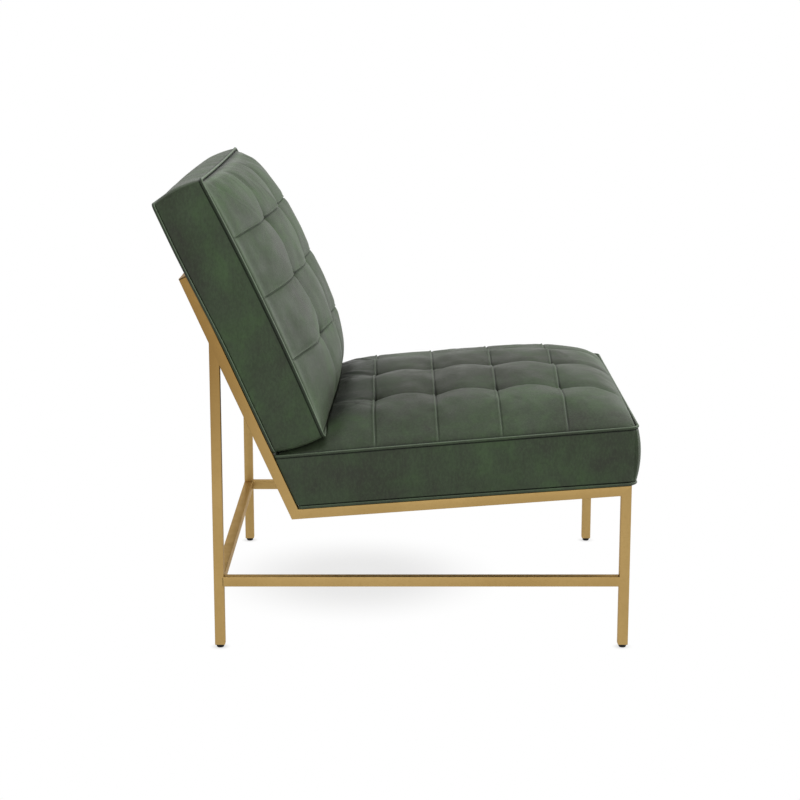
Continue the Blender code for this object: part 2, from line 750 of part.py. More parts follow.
def seat():
    pad = seat_pad()
    board = upholster("seat", pad, "seat_top_welt", "seat_bottom_welt", GAP, SEAT_BOARD)
    opening = RAIL_LENGTH - REAR_RAIL_SETBACK - TUBE / 2
    front_edge = TUBE + GAP
    rear_edge = opening - GAP
    size = (2 * (INNER_X - GAP), rear_edge - front_edge, DUST_COVER)
    centre = (0.0, (front_edge + rear_edge) / 2, -DUST_COVER / 2)
    dust_cover = box_piece("seat_dust_cover", size, centre, pad.matrix, CAMBRIC)
    fixings("seat", pad.matrix, SEAT_TABS, -DUST_COVER - GAP, board, dust_cover)


def back():
    pad = back_pad()
    board_bottom = 2 * GAP + BACK_PANEL
    board = upholster("back", pad, "back_front_welt", "back_rear_welt", board_bottom, BACK_BOARD)
    edge = WELT_RADIUS - WELT_OFFSET + DRAW_IN + GAP
    low = pad.near + BACK_DROP
    high = pad.far - BACK_PEAK
    size = (
        2 * (pad.half - edge),
        high - low - 2 * edge,
        BACK_PANEL,
    )
    centre = (0.0, (low + high) / 2, GAP + BACK_PANEL / 2)
    panel = box_piece("back_rear_panel", size, centre, pad.matrix, LEATHER)
    fixings("back", pad.matrix, BACK_TABS, 0.0, board, panel)


for side_name, side_sign in SIDES:
    side_frame(side_name, side_sign)
cross_rails()
feet()
seat()
back()
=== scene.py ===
import math

import bmesh
import bpy
import numpy as np
from mathutils import Matrix, Vector
from mathutils.bvhtree import BVHTree

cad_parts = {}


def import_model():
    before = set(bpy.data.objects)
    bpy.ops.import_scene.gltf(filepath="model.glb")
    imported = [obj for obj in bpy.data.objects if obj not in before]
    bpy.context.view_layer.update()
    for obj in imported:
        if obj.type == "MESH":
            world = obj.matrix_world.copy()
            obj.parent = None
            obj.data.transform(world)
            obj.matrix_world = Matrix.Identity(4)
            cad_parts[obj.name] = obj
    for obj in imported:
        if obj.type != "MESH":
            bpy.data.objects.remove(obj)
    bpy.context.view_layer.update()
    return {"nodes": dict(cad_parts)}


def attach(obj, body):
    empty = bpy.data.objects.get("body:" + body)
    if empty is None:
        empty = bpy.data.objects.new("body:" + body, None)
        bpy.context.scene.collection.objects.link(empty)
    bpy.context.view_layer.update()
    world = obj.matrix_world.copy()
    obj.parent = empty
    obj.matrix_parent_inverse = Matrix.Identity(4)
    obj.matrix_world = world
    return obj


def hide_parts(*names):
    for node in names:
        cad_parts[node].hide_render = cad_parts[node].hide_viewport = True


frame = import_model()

# Frame layout, in metres, in the same places as the CAD
TUBE = 0.01905
FRAME_WIDTH = 0.7518
LEG_SPAN = 0.7914
FRONT_Y = -0.4330
REAR_Y = FRONT_Y + LEG_SPAN
LEG_BOTTOM = 0.0055
STRETCHER_HEIGHT = 0.1228
RAIL_FALL = math.radians(4.207)
RAIL_LENGTH = 0.6429
RAIL_FRONT = Vector((0.0, FRONT_Y, 0.3023))
UPRIGHT_LEAN = math.radians(23.93)
UPRIGHT_LENGTH = 0.5013
REAR_RAIL_SETBACK = 0.030
SIDE_X = (FRAME_WIDTH - TUBE) / 2
ACROSS = Vector((1.0, 0.0, 0.0))


def lean(angle):
    return Vector((0.0, math.sin(angle), math.cos(angle)))


UP = lean(0.0)
REARWARD = lean(math.pi / 2)
RAIL_RUN = lean(math.pi / 2 + RAIL_FALL)
RAIL_UP = lean(RAIL_FALL)
UPRIGHT_RUN = lean(UPRIGHT_LEAN)
UPRIGHT_FRONT = lean(UPRIGHT_LEAN - math.pi / 2)
HEEL = RAIL_FRONT + RAIL_RUN * RAIL_LENGTH

# Helpers


def placed(origin, x_axis, z_axis):
    y_axis = z_axis.cross(x_axis)
    return Matrix.Translation(origin) @ Matrix((x_axis, y_axis, z_axis)).transposed().to_4x4()


def in_world(verts, matrix):
    matrix = np.array(matrix)
    return verts @ matrix[:3, :3].T + matrix[:3, 3]


def new_object(name, data):
    obj = bpy.data.objects.new(name, data)
    bpy.context.scene.collection.objects.link(obj)
    return obj


def mesh_object(name, verts, faces, smooth=True):
    mesh = bpy.data.meshes.new(name)
    mesh.from_pydata([tuple(v) for v in verts], [], [tuple(f) for f in faces])
    mesh.update()
    if smooth:
        mesh.shade_smooth()
    return new_object(name, mesh)


def set_material(obj, material):
    obj.data.materials.clear()
    obj.data.materials.append(material)


def set_marks(obj, marks):
    """Point attributes that the leather's material reads."""
    for label, values in marks.items():
        layer = obj.data.attributes.new(label, "FLOAT", "POINT")
        layer.data.foreach_set("value", values.astype(np.float32))


# Materials


class Nodes:
    """Small builder for node trees."""

    def __init__(self, tree):
        self.tree = tree

    def feed(self, socket, value):
        """Links a socket, or sets it to a number, a vector or a colour."""
        if isinstance(value, (int, float)):
            socket.default_value = value
        elif isinstance(value, tuple):
            socket.default_value = (*value, 1.0)[: len(socket.default_value)]
        else:
            self.tree.links.new(value, socket)

    def made(self, kind, inputs, output=0, **settings):
        """One output of a new node with its settings made and its inputs fed."""
        node = self.tree.nodes.new(kind)
        for key, value in settings.items():
            setattr(node, key, value)
        for key, value in inputs.items():
            self.feed(node.inputs[key], value)
        return node.outputs[output]

    def math(self, operation, a, b):
        return self.made("ShaderNodeMath", {0: a, 1: b}, operation=operation)

    def vector(self, operation, a, b=(0.0, 0.0, 0.0)):
        output = "Value" if operation in ("DOT_PRODUCT", "LENGTH") else "Vector"
        return self.made("ShaderNodeVectorMath", {0: a, 1: b}, output, operation=operation)

    def remap(self, value, low, high, to_low=0.0, to_high=1.0):
        ends = {"From Min": low, "From Max": high, "To Min": to_low, "To Max": to_high}
        inputs = {"Value": value, **ends}
        return self.made("ShaderNodeMapRange", inputs, "Result", interpolation_type="SMOOTHSTEP")

    def blend(self, share, a, b, output):
        """Two shaders blended into the tree's output."""
        mixed = self.made("ShaderNodeMixShader", {0: share, 1: a, 2: b})
        self.feed(self.tree.nodes[output].inputs["Surface"], mixed)


class Shader(Nodes):
    """A material in the object's own coordinates."""

    def __init__(self, name):
        self.material = bpy.data.materials.new(name)
        self.material.use_nodes = True
        super().__init__(self.material.node_tree)
        self.bsdf = self.tree.nodes["Principled BSDF"]
        self.coords = self.made("ShaderNodeTexCoord", {}, "Object")

    def stretched(self, scale):
        inputs = {"Scale": scale, "Vector": self.coords}
        return self.made("ShaderNodeMapping", inputs, "Vector")

    def noise(self, scale, detail=3.0, rough=0.5, distort=0.0, coords=None):
        look = {"Scale": scale, "Detail": detail, "Roughness": rough, "Distortion": distort}
        return self.made("ShaderNodeTexNoise", {**look, "Vector": coords or self.coords}, "Fac")

    def cells(self, scale, feature="F1"):
        inputs = {"Scale": scale, "Vector": self.coords}
        return self.made("ShaderNodeTexVoronoi", inputs, "Distance", feature=feature)

    def mix(self, factor, a, b, blend="MIX"):
        inputs = {0: factor, 6: a, 7: b}
        return self.made("ShaderNodeMix", inputs, 2, data_type="RGBA", blend_type=blend)

    def attribute(self, name):
        return self.made("ShaderNodeAttribute", {}, "Fac", attribute_name=name)

    def bump(self, height, distance, strength, below=None):
        inputs = {"Strength": strength, "Distance": distance, "Height": height}
        if below is not None:
            inputs["Normal"] = below
        return self.made("ShaderNodeBump", inputs, "Normal")

    def set(self, **values):
        """Sets the shader's own sockets and gives the material."""
        for key, value in values.items():
            self.feed(self.bsdf.inputs[key.replace("_", " ")], value)
        return self.material


def srgb(r, g, b):
    """Linear colour from 0-255 display values."""
    values = (v / 255 for v in (r, g, b))
    return tuple(((v + 0.055) / 1.055) ** 2.4 if v > 0.0404 else v / 12.92 for v in values)


def brass_material():
    """Satin brass, painted shade towards the top, dark in the joint under the uprights' caps."""
    s = Shader("satin_brass_finish")
    cloud = s.noise(7.0, 3.0)
    fine = s.noise(160.0, 2.0)
    base = s.mix(s.remap(cloud, 0.35, 0.65), srgb(174, 144, 90), srgb(182, 152, 97))
    base = s.mix(s.remap(fine, 0.45, 0.75, 0.0, 0.25), base, srgb(164, 134, 80))
    # Painted shade: the brass darkens with height, standing in for the shade on the upper tubes.
    height = s.made("ShaderNodeSeparateXYZ", {0: s.coords}, "Z")
    base = s.mix(s.remap(height, 0.24, 0.62, 0.0, 0.90), base, srgb(142, 110, 60))
    along = s.vector("DOT_PRODUCT", s.coords, tuple(UPRIGHT_RUN))
    top = (HEEL + UPRIGHT_RUN * UPRIGHT_LENGTH).dot(UPRIGHT_RUN)
    above_low = s.math("GREATER_THAN", along, top - 0.0024)
    joint = s.math("MULTIPLY", above_low, s.math("LESS_THAN", along, top - 0.0001))
    base = s.mix(s.math("MULTIPLY", joint, 0.85), base, srgb(52, 36, 14))
    rough = s.remap(s.noise(45.0, 4.0), 0.3, 0.7, 0.36, 0.46)
    grain = s.noise(900.0, 2.0, coords=s.stretched((1.0, 1.0, 0.25)))
    s.set(Base_Color=base, Roughness=rough, Normal=s.bump(grain, 0.00004, 0.5))
    return s.set(Metallic=0.80, Specular_Tint=srgb(224, 204, 174))


def leather_material():
    """Waxed green hide: cloudy patches, upright streaks, a mottled grain; painted light and shade.
    """
    s = Shader("green_leather_finish")
    haze = s.noise(5.5, 4.0, 0.55, 0.7)
    cloud = s.noise(19.0, 5.0, 0.58, 0.5)
    streak = s.noise(46.0, 4.0, 0.58, 0.3, s.stretched((1.0, 0.75, 0.26)))
    fibre = s.noise(270.0, 5.0, 0.66, 0.2, s.stretched((1.0, 0.85, 0.50)))
    tone = s.math("ADD", s.math("MULTIPLY", haze, 0.42), s.math("MULTIPLY", cloud, 0.34))
    tone = s.math("ADD", tone, s.math("MULTIPLY", streak, 0.24))
    tone = s.math("ADD", tone, s.attribute("patch"))
    base = s.mix(s.remap(tone, 0.35, 0.54), srgb(50, 54, 42), srgb(61, 74, 53))
    base = s.mix(s.remap(tone, 0.50, 0.67, 0.0, 0.95), base, srgb(73, 95, 62))
    base = s.mix(s.remap(fibre, 0.45, 0.70, 0.0, 0.24), base, srgb(82, 97, 75))
    base = s.mix(s.remap(fibre, 0.55, 0.30, 0.0, 0.28), base, srgb(40, 45, 35))
    # Painted highlight on ridges, the back's panel edge and the welts' upper sides.
    base = s.mix(s.attribute("rub"), base, srgb(156, 176, 148))
    # Painted shade: the side bands darkened, in place of their weaker sheen.
    base = s.mix(s.attribute("side"), base, (0.84, 0.89, 0.81), "MULTIPLY")
    # Painted shade in seams, tufts, folds, welt grooves and on the seat before the back.
    base = s.mix(s.math("MULTIPLY", s.attribute("crease"), 0.92), base, srgb(11, 15, 10))
    rough = s.remap(cloud, 0.3, 0.7, 0.44, 0.60)
    pores = s.remap(s.cells(1100.0, "DISTANCE_TO_EDGE"), 0.0, 0.25)
    folds = s.noise(150.0, 6.0, 0.62, 0.4)
    waves = s.noise(30.0, 3.0, 0.5, 0.5)
    normal = s.bump(waves, 0.0008, 0.4)
    normal = s.bump(folds, 0.0004, 0.6, normal)
    normal = s.bump(pores, 0.00010, 0.6, normal)
    s.set(Base_Color=base, Roughness=rough, Normal=normal, Specular_IOR_Level=0.29)
    return s.set(Sheen_Weight=0.08, Sheen_Roughness=0.4, Sheen_Tint=srgb(200, 205, 190))


def black_material(name, grain, colours, rough, bump):
    """A matt black finish with an even grain."""
    s = Shader(name)
    speck = s.noise(*grain)
    base = s.mix(s.remap(speck, 0.4, 0.7), *colours)
    s.set(Base_Color=base, Roughness=s.remap(speck, 0.3, 0.7, *rough))
    return s.set(Normal=s.bump(speck, *bump), Specular_IOR_Level=0.25)


def steel_material():
    s = Shader("zinc_steel_finish")
    spangle = s.cells(260.0)
    base = s.mix(s.remap(spangle, 0.2, 0.7), (0.42, 0.43, 0.43), (0.56, 0.56, 0.55))
    rough = s.remap(s.noise(120.0, 4.0), 0.3, 0.7, 0.3, 0.45)
    normal = s.bump(spangle, 0.00003, 0.4)
    return s.set(Base_Color=base, Metallic=1.0, Roughness=rough, Normal=normal)


def plywood_material():
    s = Shader("plywood_finish")
    grain = s.noise(30.0, 5.0, 0.6, 1.2, s.stretched((12.0, 1.0, 12.0)))
    plies = s.remap(s.noise(420.0, 1.0, coords=s.stretched((0.02, 0.02, 1.0))), 0.42, 0.58)
    base = s.mix(s.remap(grain, 0.3, 0.7), srgb(176, 146, 104), srgb(206, 178, 136))
    base = s.mix(s.math("MULTIPLY", plies, 0.3), base, srgb(140, 108, 72))
    rough = s.remap(grain, 0.3, 0.7, 0.6, 0.8)
    return s.set(Base_Color=base, Roughness=rough, Normal=s.bump(grain, 0.0003, 0.5))


def cambric_material():
    s = Shader("black_cambric_finish")
    weave = s.made("ShaderNodeTexChecker", {"Scale": 900.0, "Vector": s.coords}, "Fac")
    fuzz = s.noise(260.0, 4.0, 0.7)
    base = s.mix(s.remap(fuzz, 0.35, 0.7), (0.012, 0.012, 0.013), (0.030, 0.030, 0.031))
    normal = s.bump(s.math("ADD", weave, fuzz), 0.00025, 0.6)
    return s.set(Base_Color=base, Roughness=0.92, Sheen_Weight=0.2, Normal=normal)


BRASS = brass_material()
LEATHER = leather_material()
STEEL = steel_material()
BLACKENED = black_material(
    "blackened_steel_finish",
    grain=(420.0, 4.0),
    colours=((0.008, 0.008, 0.008), (0.018, 0.017, 0.016)),
    rough=(0.5, 0.65),
    bump=(0.00004, 0.5),
)
NYLON = black_material(
    "black_nylon_finish",
    grain=(700.0, 3.0),
    colours=((0.006, 0.006, 0.006), (0.013, 0.013, 0.013)),
    rough=(0.55, 0.7),
    bump=(0.00008, 0.6),
)
PLYWOOD = plywood_material()
CAMBRIC = cambric_material()

# The solids that stay, by the start of their names
CARRIED = (
    ("foot_insert_", BLACKENED),
    ("glide_", NYLON),
    (("seat_screw_", "back_screw_"), STEEL),
    (("seat_tab_", "back_tab_"), BRASS),
    (("seat_board", "back_board"), PLYWOOD),
)
for node_name, node in frame["nodes"].items():
    for start, finish in CARRIED:
        if node_name.startswith(start):
            set_material(node, finish)

# Welded frame: the tubes meet without seams, as the grinding leaves them

WELD = 0.0020
FLUSH = TUBE - 0.00006
LEG_END = LEG_BOTTOM + 0.0013
EDGE_ROUND = 0.0011
END_CHAMFER = 0.0003
WALL_SHOWN = 0.0012
BORE_DEPTH = 0.018


def trimmed_tube(bm, start, run, length, face, cuts=(), foot=False, width=TUBE):
    """Tube with rounded edges; a slightly narrower one runs into its neighbour without a seam."""
    part = bmesh.new()
    bmesh.ops.create_cube(part, size=1.0)
    bmesh.ops.scale(part, vec=(width, TUBE, length), verts=part.verts)
    bmesh.ops.translate(part, vec=(0.0, 0.0, length / 2), verts=part.verts)
    long_edges = [e for e in part.edges if abs(e.verts[0].co.z - e.verts[1].co.z) > length / 2]
    rounding = dict(offset=EDGE_ROUND, segments=3, profile=0.5, affect="EDGES")
    bmesh.ops.bevel(part, geom=long_edges, **rounding)
    if foot:
        cap = min(part.faces, key=lambda f: f.calc_center_median().z)
        bmesh.ops.inset_region(part, faces=[cap], thickness=END_CHAMFER, depth=END_CHAMFER)
        bmesh.ops.inset_region(part, faces=[cap], thickness=WALL_SHOWN, depth=0.0)
        moved = bmesh.ops.extrude_discrete_faces(part, faces=[cap])["faces"]
        bmesh.ops.translate(part, vec=(0.0, 0.0, BORE_DEPTH), verts=moved[0].verts)
    bmesh.ops.transform(part, matrix=placed(start, face, run), verts=part.verts)
    for point, normal in cuts:
        geom = part.verts[:] + part.edges[:] + part.faces[:]
        bmesh.ops.bisect_plane(part, geom=geom, plane_co=point, plane_no=normal, clear_outer=True)
        rim = [e for e in part.edges if e.is_boundary]
        bmesh.ops.holes_fill(part, edges=rim, sides=0)
    bmesh.ops.recalc_face_normals(part, faces=part.faces)
    mesh = bpy.data.meshes.new("tube_part")
    part.to_mesh(mesh)
    part.free()
    bm.from_mesh(mesh)
    bpy.data.meshes.remove(mesh)


def build_frame():
    bm = bmesh.new()
    front_corner = RAIL_FRONT + UP * (TUBE / math.cos(RAIL_FALL))
    front_mitre = (RAIL_RUN + UP).normalized()
    heel_mitre = (UPRIGHT_RUN + RAIL_RUN).normalized()
    for sign in (-1.0, 1.0):
        side = ACROSS * (sign * SIDE_X)
        leg = side + Vector((0.0, FRONT_Y + TUBE / 2, LEG_END))
        height = front_corner.z + TUBE - LEG_END
        cuts = [(front_corner, front_mitre)]
        trimmed_tube(bm, leg, UP, height, ACROSS, cuts, foot=True)
        rail = side + RAIL_FRONT + RAIL_UP * (TUBE / 2) - RAIL_RUN * TUBE
        cuts = [(front_corner, -front_mitre), (HEEL, heel_mitre)]
        trimmed_tube(bm, rail, RAIL_RUN, RAIL_LENGTH + 2 * TUBE, ACROSS, cuts)
        upright = side + HEEL + UPRIGHT_FRONT * (TUBE / 2) - UPRIGHT_RUN * TUBE
        cuts = [(HEEL, -heel_mitre)]
        trimmed_tube(bm, upright, UPRIGHT_RUN, UPRIGHT_LENGTH + TUBE, ACROSS, cuts)
        rear = side + Vector((0.0, REAR_Y - TUBE / 2, LEG_END))
        height = (HEEL + UPRIGHT_RUN * UPRIGHT_LENGTH).z - LEG_END
        cuts = [(HEEL + UPRIGHT_FRONT * WELD, UPRIGHT_FRONT)]
        trimmed_tube(bm, rear, UP, height, ACROSS, cuts, foot=True, width=FLUSH)
        low = side + Vector((0.0, FRONT_Y + TUBE - WELD, STRETCHER_HEIGHT + TUBE / 2))
        trimmed_tube(bm, low, REARWARD, LEG_SPAN - 2 * (TUBE - WELD), ACROSS, width=FLUSH)
    inner = FRAME_WIDTH / 2 - TUBE
    half = TUBE / 2
    middle = RAIL_FRONT + RAIL_UP * half
    rows = (
        (Vector((0.0, REAR_Y - half, STRETCHER_HEIGHT + half)), UP),
        (HEEL + UPRIGHT_RUN * (UPRIGHT_LENGTH - half) + UPRIGHT_FRONT * half, UPRIGHT_RUN),
        (middle + RAIL_RUN * half, RAIL_UP),
        (middle + RAIL_RUN * (RAIL_LENGTH - REAR_RAIL_SETBACK), RAIL_UP),
    )
    for centre, face in rows:
        trimmed_tube(bm, centre - ACROSS * inner, ACROSS, 2 * inner, face)
    mesh = bpy.data.meshes.new("welded_frame")
    bm.to_mesh(mesh)
    bm.free()
    mesh.shade_smooth()
    mesh.set_sharp_from_angle(angle=math.radians(35))
    obj = new_object("welded_frame", mesh)
    set_material(obj, BRASS)
    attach(obj, "chair")
    parts = ("front_leg", "rear_leg", "seat_rail", "back_upright", "side_stretcher", "upright_cap")
    tubes = [f"{part}_{side}" for part in parts for side in ("left", "right")]
    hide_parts(*tubes, "rear_stretcher", "top_back_rail", "front_seat_rail", "rear_seat_rail")


build_frame()

# Cushions

# Half the width at the welts, and the fold lines that run from near to far
HALF = 0.3721
COLUMNS = (-0.189, 0.0, 0.189)
STOPS_X = [-HALF, *COLUMNS, HALF]
# A welt: how deep it sits, its radius, how far its middle stands off, its share of the boxing
WELT_SEAT = 0.0045
WELT_RADIUS = 0.0028
WELT_OFFSET = 0.0023
WELT_SHARE = 0.045
# How far straight edges are drawn in, and the boxing's rim above what carries it
DRAW_IN = 0.0025
RIM = 0.0034
SIDE_BULGE = 0.003
BETWEEN_EASE = 0.008
TURN_IN, TURN_IN_SHARE = 0.010, 0.030
# The seat stays this far below the back; FAR_OFF is beyond any part of the chair
CLEAR = 0.0014
FAR_OFF = 9.0
AT_END = 0.999
ON_LINE = 1e-6

# Grid places of the dense mesh and of the coarse one that is simulated
FINE_STEP = 0.0046
MEETING_STEP = 0.0016
EDGE_PLACES = [0.0012, 0.0026, 0.0044, 0.0066, 0.0094]
SEAM_PLACES = [0.0008, 0.0016, 0.0026, 0.0040, 0.0060, 0.0090]
FOLD_PLACES = [0.0010, 0.0022, 0.0042, 0.0075]
BAND_PLACES = [0.012, 0.028, 0.045, 0.053, 0.063]
BAND_MIDDLE = np.linspace(0.08, 0.92, 23)
SHARES = np.array([*BAND_PLACES, *BAND_MIDDLE, *(1 - s for s in reversed(BAND_PLACES)), 1.0])
CLOTH_STEP = 0.0080
CLOTH_ROWS = 8
CLOTH_FRAMES = 16
LINE_HOLD = 0.10
CLOTH_CAP = 0.014
CLOTH_EASE = 0.45
BOXING_SWELL = 0.5
CLOTH = dict(
    quality=4,
    mass=0.35,
    air_damping=3.0,
    tension_stiffness=30.0,
    compression_stiffness=30.0,
    shear_stiffness=12.0,
    bending_stiffness=3.0,
    vertex_group_mass="hold",
    use_pressure=True,
    uniform_pressure_force=4.0,
    shrink_min=-0.010,
)

# Sizes of the relief and of the painted shade and painted highlights that go with it, in metres
SEAM_REACH, FOLD_REACH, TUFT_REACH = 0.009, 0.014, 0.020
FOLD_DIP, TUFT_DIP = 0.0030, 0.0110
PUCKER, PINCH, HOLLOW = 0.0030, 0.0030, 0.0035
GROOVE_WIDTH = 0.0014
PUCKER_SIZE = (0.010, 0.0045)
PINCH_WIDTH, PINCH_AHEAD, PINCH_BEHIND = 0.0040, 0.034, 0.016
HOLLOW_WIDTH, HOLLOW_AHEAD, HOLLOW_BEHIND = 0.014, 0.014, 0.003
FOLD_LINE_WIDTH = 0.0030
DENTS = ((0.036, 0.020), (0.010, 0.010))
PLEAT_DEPTH, PLEAT_WIDTH = 0.0020, 0.0035
PLEAT_RIDGE_AT, PLEAT_RIDGE_WIDTH = 0.008, 0.005
PRESS_LIMIT = 0.02
SEAM_MARK, EDGE_MARK = 0.0011, 0.0010
BESIDE_FOLD = 0.045
TUFT_MARK_INNER, TUFT_MARK_OUTER, TUFT_MARK_LENGTH = 0.030, 0.010, 0.0024
FOLD_MARK, FOLD_MARK_AT_TUFT = 0.0014, 0.0016
FLANK_SIZE = (0.011, 0.015)
SHADE_REACH, SHADE_FROM, SHADE_TO = 0.048, 0.04, 0.12
EDGE_HIGHLIGHT_AT, EDGE_HIGHLIGHT_WIDTH = 0.0045, 0.0035
BAND_DARK, BAND_MARK = 0.8, 0.004

PAD_DEFAULTS = dict(
    bow=0.0,
    between=0.0,
    meeting=(),
    dent=0.0,
    edge_highlight=0.0,
    rear_line=1.0,
    rim=lambda y: np.full(np.shape(y), RIM),
    widen=lambda y: np.zeros(np.shape(y)),
    press=lambda x, y: np.full(np.shape(y), FAR_OFF),
)


def ramp(y, low, high):
    t = np.clip((y - low) / (high - low), 0, 1)
    return t * t * (3 - 2 * t)


def bell(offset, width, other=0.0, length=1.0):
    """1 in the middle, fading over a width and, where given, over a length as well."""
    return np.exp(-((offset / width) ** 2) - (other / length) ** 2)


class Pad:
    """A quilted cushion in its own frame: x across, y along, z out from what carries it."""

    def __init__(self, **facts):
        self.__dict__.update({**PAD_DEFAULTS, **facts})
        self.middle = (self.near + self.far) / 2
        self.half_length = (self.far - self.near) / 2
        self.stops = [self.near, *self.seams, self.far]

    def v(self, y):
        return 2 * (y - self.near) / (self.far - self.near) - 1

    def depth(self, y):
        v = self.v(y)
        rise = (self.depths[1] - self.depths[0]) * (v + 1) / 2
        return self.depths[0] + rise + self.bow * (1 - v * v)

    def dome(self, x, y):
        """Share of the crown at a place, 1 in the middle and 0 at the edges."""
        v = self.v(y)
        near, far = (np.maximum(1 - np.abs(v) ** a, 0.0) ** b for a, b in self.profiles)
        across = np.maximum(1 - np.abs(x / HALF) ** 2.4, 0.0) ** 0.62
        return np.where(v > 0, far, near) * across

    def outline(self, x, y, grow):
        """Places with the panel's corners rounded and its edges drawn in, moved out by `grow`."""
        run = y - self.middle
        corner = np.where(run < 0, self.corners[0], self.corners[1])
        cx = np.maximum(np.abs(x) - (HALF - corner), 0.0)
        cy = np.maximum(np.abs(run) - (self.half_length - corner), 0.0)
        both = (cx > 0) & (cy > 0)
        reach = np.hypot(cx, cy) + 1e-12
        scale = np.maximum(cx, cy) / reach
        out_x = np.where(cx >= corner - 1e-5, grow, 0.0)
        out_y = np.where(cy >= corner - 1e-5, grow, 0.0)
        out_x = np.where(both, cx * (scale - 1) + grow * cx / reach, out_x)
        out_y = np.where(both, cy * (scale - 1) + grow * cy / reach, out_y)
        along = run / self.half_length
        side = x / HALF
        new_x = x + out_x * np.sign(x) - DRAW_IN * side * (1 - along**2)
        draw = np.where(run < 0, self.draws[0], self.draws[1])
        new_y = y + out_y * np.sign(run) - draw * along * (1 - side**2)
        return new_x, new_y

    def shear(self, y, height):
        """Shift along y of what lies below the panel, where the ends of the boxing lean."""
        share = (self.v(y) + 1) / 2
        drop = self.depth(y) - height
        return drop * (self.leans[0] * (1 - share) + self.leans[1] * share)

    def top_line(self, y):
        """Height of the upper welt, seated between panel and boxing."""
        return self.depth(y) - WELT_SEAT / 2 + WELT_OFFSET

    def low_line(self, y):
        """Height of the lower welt, at the boxing's rim."""
        return self.rim(y) - 0.0002

    def seam_distance(self, y):
        return np.min([np.abs(y - s) for s in self.seams], axis=0)

    def fold_distance(self, x):
        return np.min([np.abs(x - c) for c in COLUMNS], axis=0)

    def panel(self, x, y):
        """Crowned panel with its seams pressed in, before it is puffed up."""
        dome = self.dome(x, y)
        ease = np.minimum(2 * dome, 1.0)
        seam = self.seam_distance(y)
        fold = self.fold_distance(x)
        dip = self.seam_dip * bell(seam, SEAM_REACH)
        dip = np.maximum(dip, FOLD_DIP * bell(fold, FOLD_REACH))
        dip = dip + TUFT_DIP * np.exp(-np.hypot(seam, fold) / TUFT_REACH)
        height = self.depth(y) + self.crown * dome - dip * ease
        height = np.minimum(height, self.press(x, y))
        new_x, new_y = self.outline(x, y, 0.0)
        return np.stack([new_x, new_y, height], axis=-1)

    def boxing(self, x, y, share):
        """Boxing from the top welt (share 0) to the rim (share 1)."""
        top = self.depth(y)
        height = top + (self.rim(y) - top) * share
        at_far = self.v(y) > AT_END
        side = np.abs(x) / HALF
        middle, edge = np.where(self.v(y) > 0, self.bulges[1], self.bulges[0])
        swell = edge + (middle - edge) * (1 - side**2)
        belly = np.sin(np.pi * np.clip(share, 0, 1)) ** 0.8
        if self.between:
            free = ramp(self.between - np.abs(x), 0.0, BETWEEN_EASE)
            swell = np.where(at_far, edge + (middle - edge) * free, swell)
            belly = np.where(at_far, 1 - np.abs(2 * share - 1) ** 16, belly)
        bulge = np.where(np.abs(self.v(y)) > AT_END, swell, SIDE_BULGE)
        seat = WELT_SEAT * np.minimum(1.0, np.minimum(share, 1 - share) / WELT_SHARE)
        new_x, new_y = self.outline(x, y, seat + bulge * belly)
        new_x = new_x + x / HALF * self.widen(y) * share
        return np.stack([new_x, new_y + self.shear(y, height), height], axis=-1)

    def underside(self, x, y):
        """Two rings that turn in from the rim to the flat underside."""
        lip = self.boxing(x, y, np.ones(len(x)))
        lip[:, 2] = self.base
        inner = lip.copy()
        inner[:, 0] *= 1 - TURN_IN / HALF
        inner[:, 1] += (self.middle - inner[:, 1]) * TURN_IN_SHARE
        return [lip, inner]


def spread(stops, step):
    """Even grid places between stops, each stop included."""
    places = [stops[0]]
    for a, b in zip(stops, stops[1:]):
        count = max(round((b - a) / step), 1)
        places += [a + (b - a) * i / count for i in range(1, count + 1)]
    return np.array(places)


def dense(stops, step, edge, near_seam):
    """Grid places that crowd at both ends and beside each inner stop."""
    places = []
    last = len(stops) - 1
    for i, (a, b) in enumerate(zip(stops, stops[1:])):
        head = edge if i == 0 else near_seam
        tail = edge if i == last - 1 else near_seam
        low, high = a + head[-1], b - tail[-1]
        count = max(round((high - low) / step), 1)
        places += [a] + [a + d for d in head[:-1]]
        places += [low + (high - low) * k / count for k in range(count + 1)]
        places += [b - d for d in reversed(tail[:-1])]
    places.append(stops[-1])
    return np.array(places)


def grid_quads(ny, nx):
    index = np.arange(ny * nx).reshape(ny, nx)
    corners = [index[:-1, :-1], index[:-1, 1:], index[1:, 1:], index[1:, :-1]]
    return np.stack(corners, axis=-1).reshape(-1, 4)


def ring_of(ny, nx):
    """Grid indexes round the panel's edge, counterclockwise."""
    index = np.arange(ny * nx).reshape(ny, nx)
    return np.concatenate([index[0, :-1], index[:-1, -1], index[-1, :0:-1], index[:0:-1, 0]])


def ring_places(gx, gy):
    ring = ring_of(*gx.shape)
    return gx.reshape(-1)[ring], gy.reshape(-1)[ring]


def shell_faces(ny, nx, rows):
    """Faces of a panel grid, of the rows that hang from its edge, and of the bottom; last row."""
    ring = ring_of(ny, nx)
    faces = [grid_quads(ny, nx)]
    above = ring
    for row in range(rows):
        below = ny * nx + row * len(ring) + np.arange(len(ring))
        faces.append(np.stack([above, below, np.roll(below, -1), np.roll(above, -1)], axis=-1))
        above = below
    faces = np.concatenate(faces).tolist()
    return faces + [above[::-1].tolist()], above


def cubic(values, places, axis):
    """Smooth resampling of values along an axis at fractional indexes."""
    values = np.moveaxis(values, axis, 0)
    count = len(values)
    base = np.clip(np.floor(places).astype(int), 0, count - 2)
    t = (places - base).reshape(-1, *([1] * (values.ndim - 1)))
    p0 = values[np.clip(base - 1, 0, count - 1)]
    p1 = values[base]
    p2 = values[base + 1]
    p3 = values[np.clip(base + 2, 0, count - 1)]
    bend = 2 * p0 - 5 * p1 + 4 * p2 - p3 + t * (3 * (p1 - p2) + p3 - p0)
    return np.moveaxis(p1 + 0.5 * t * (p2 - p0 + t * bend), 0, axis)


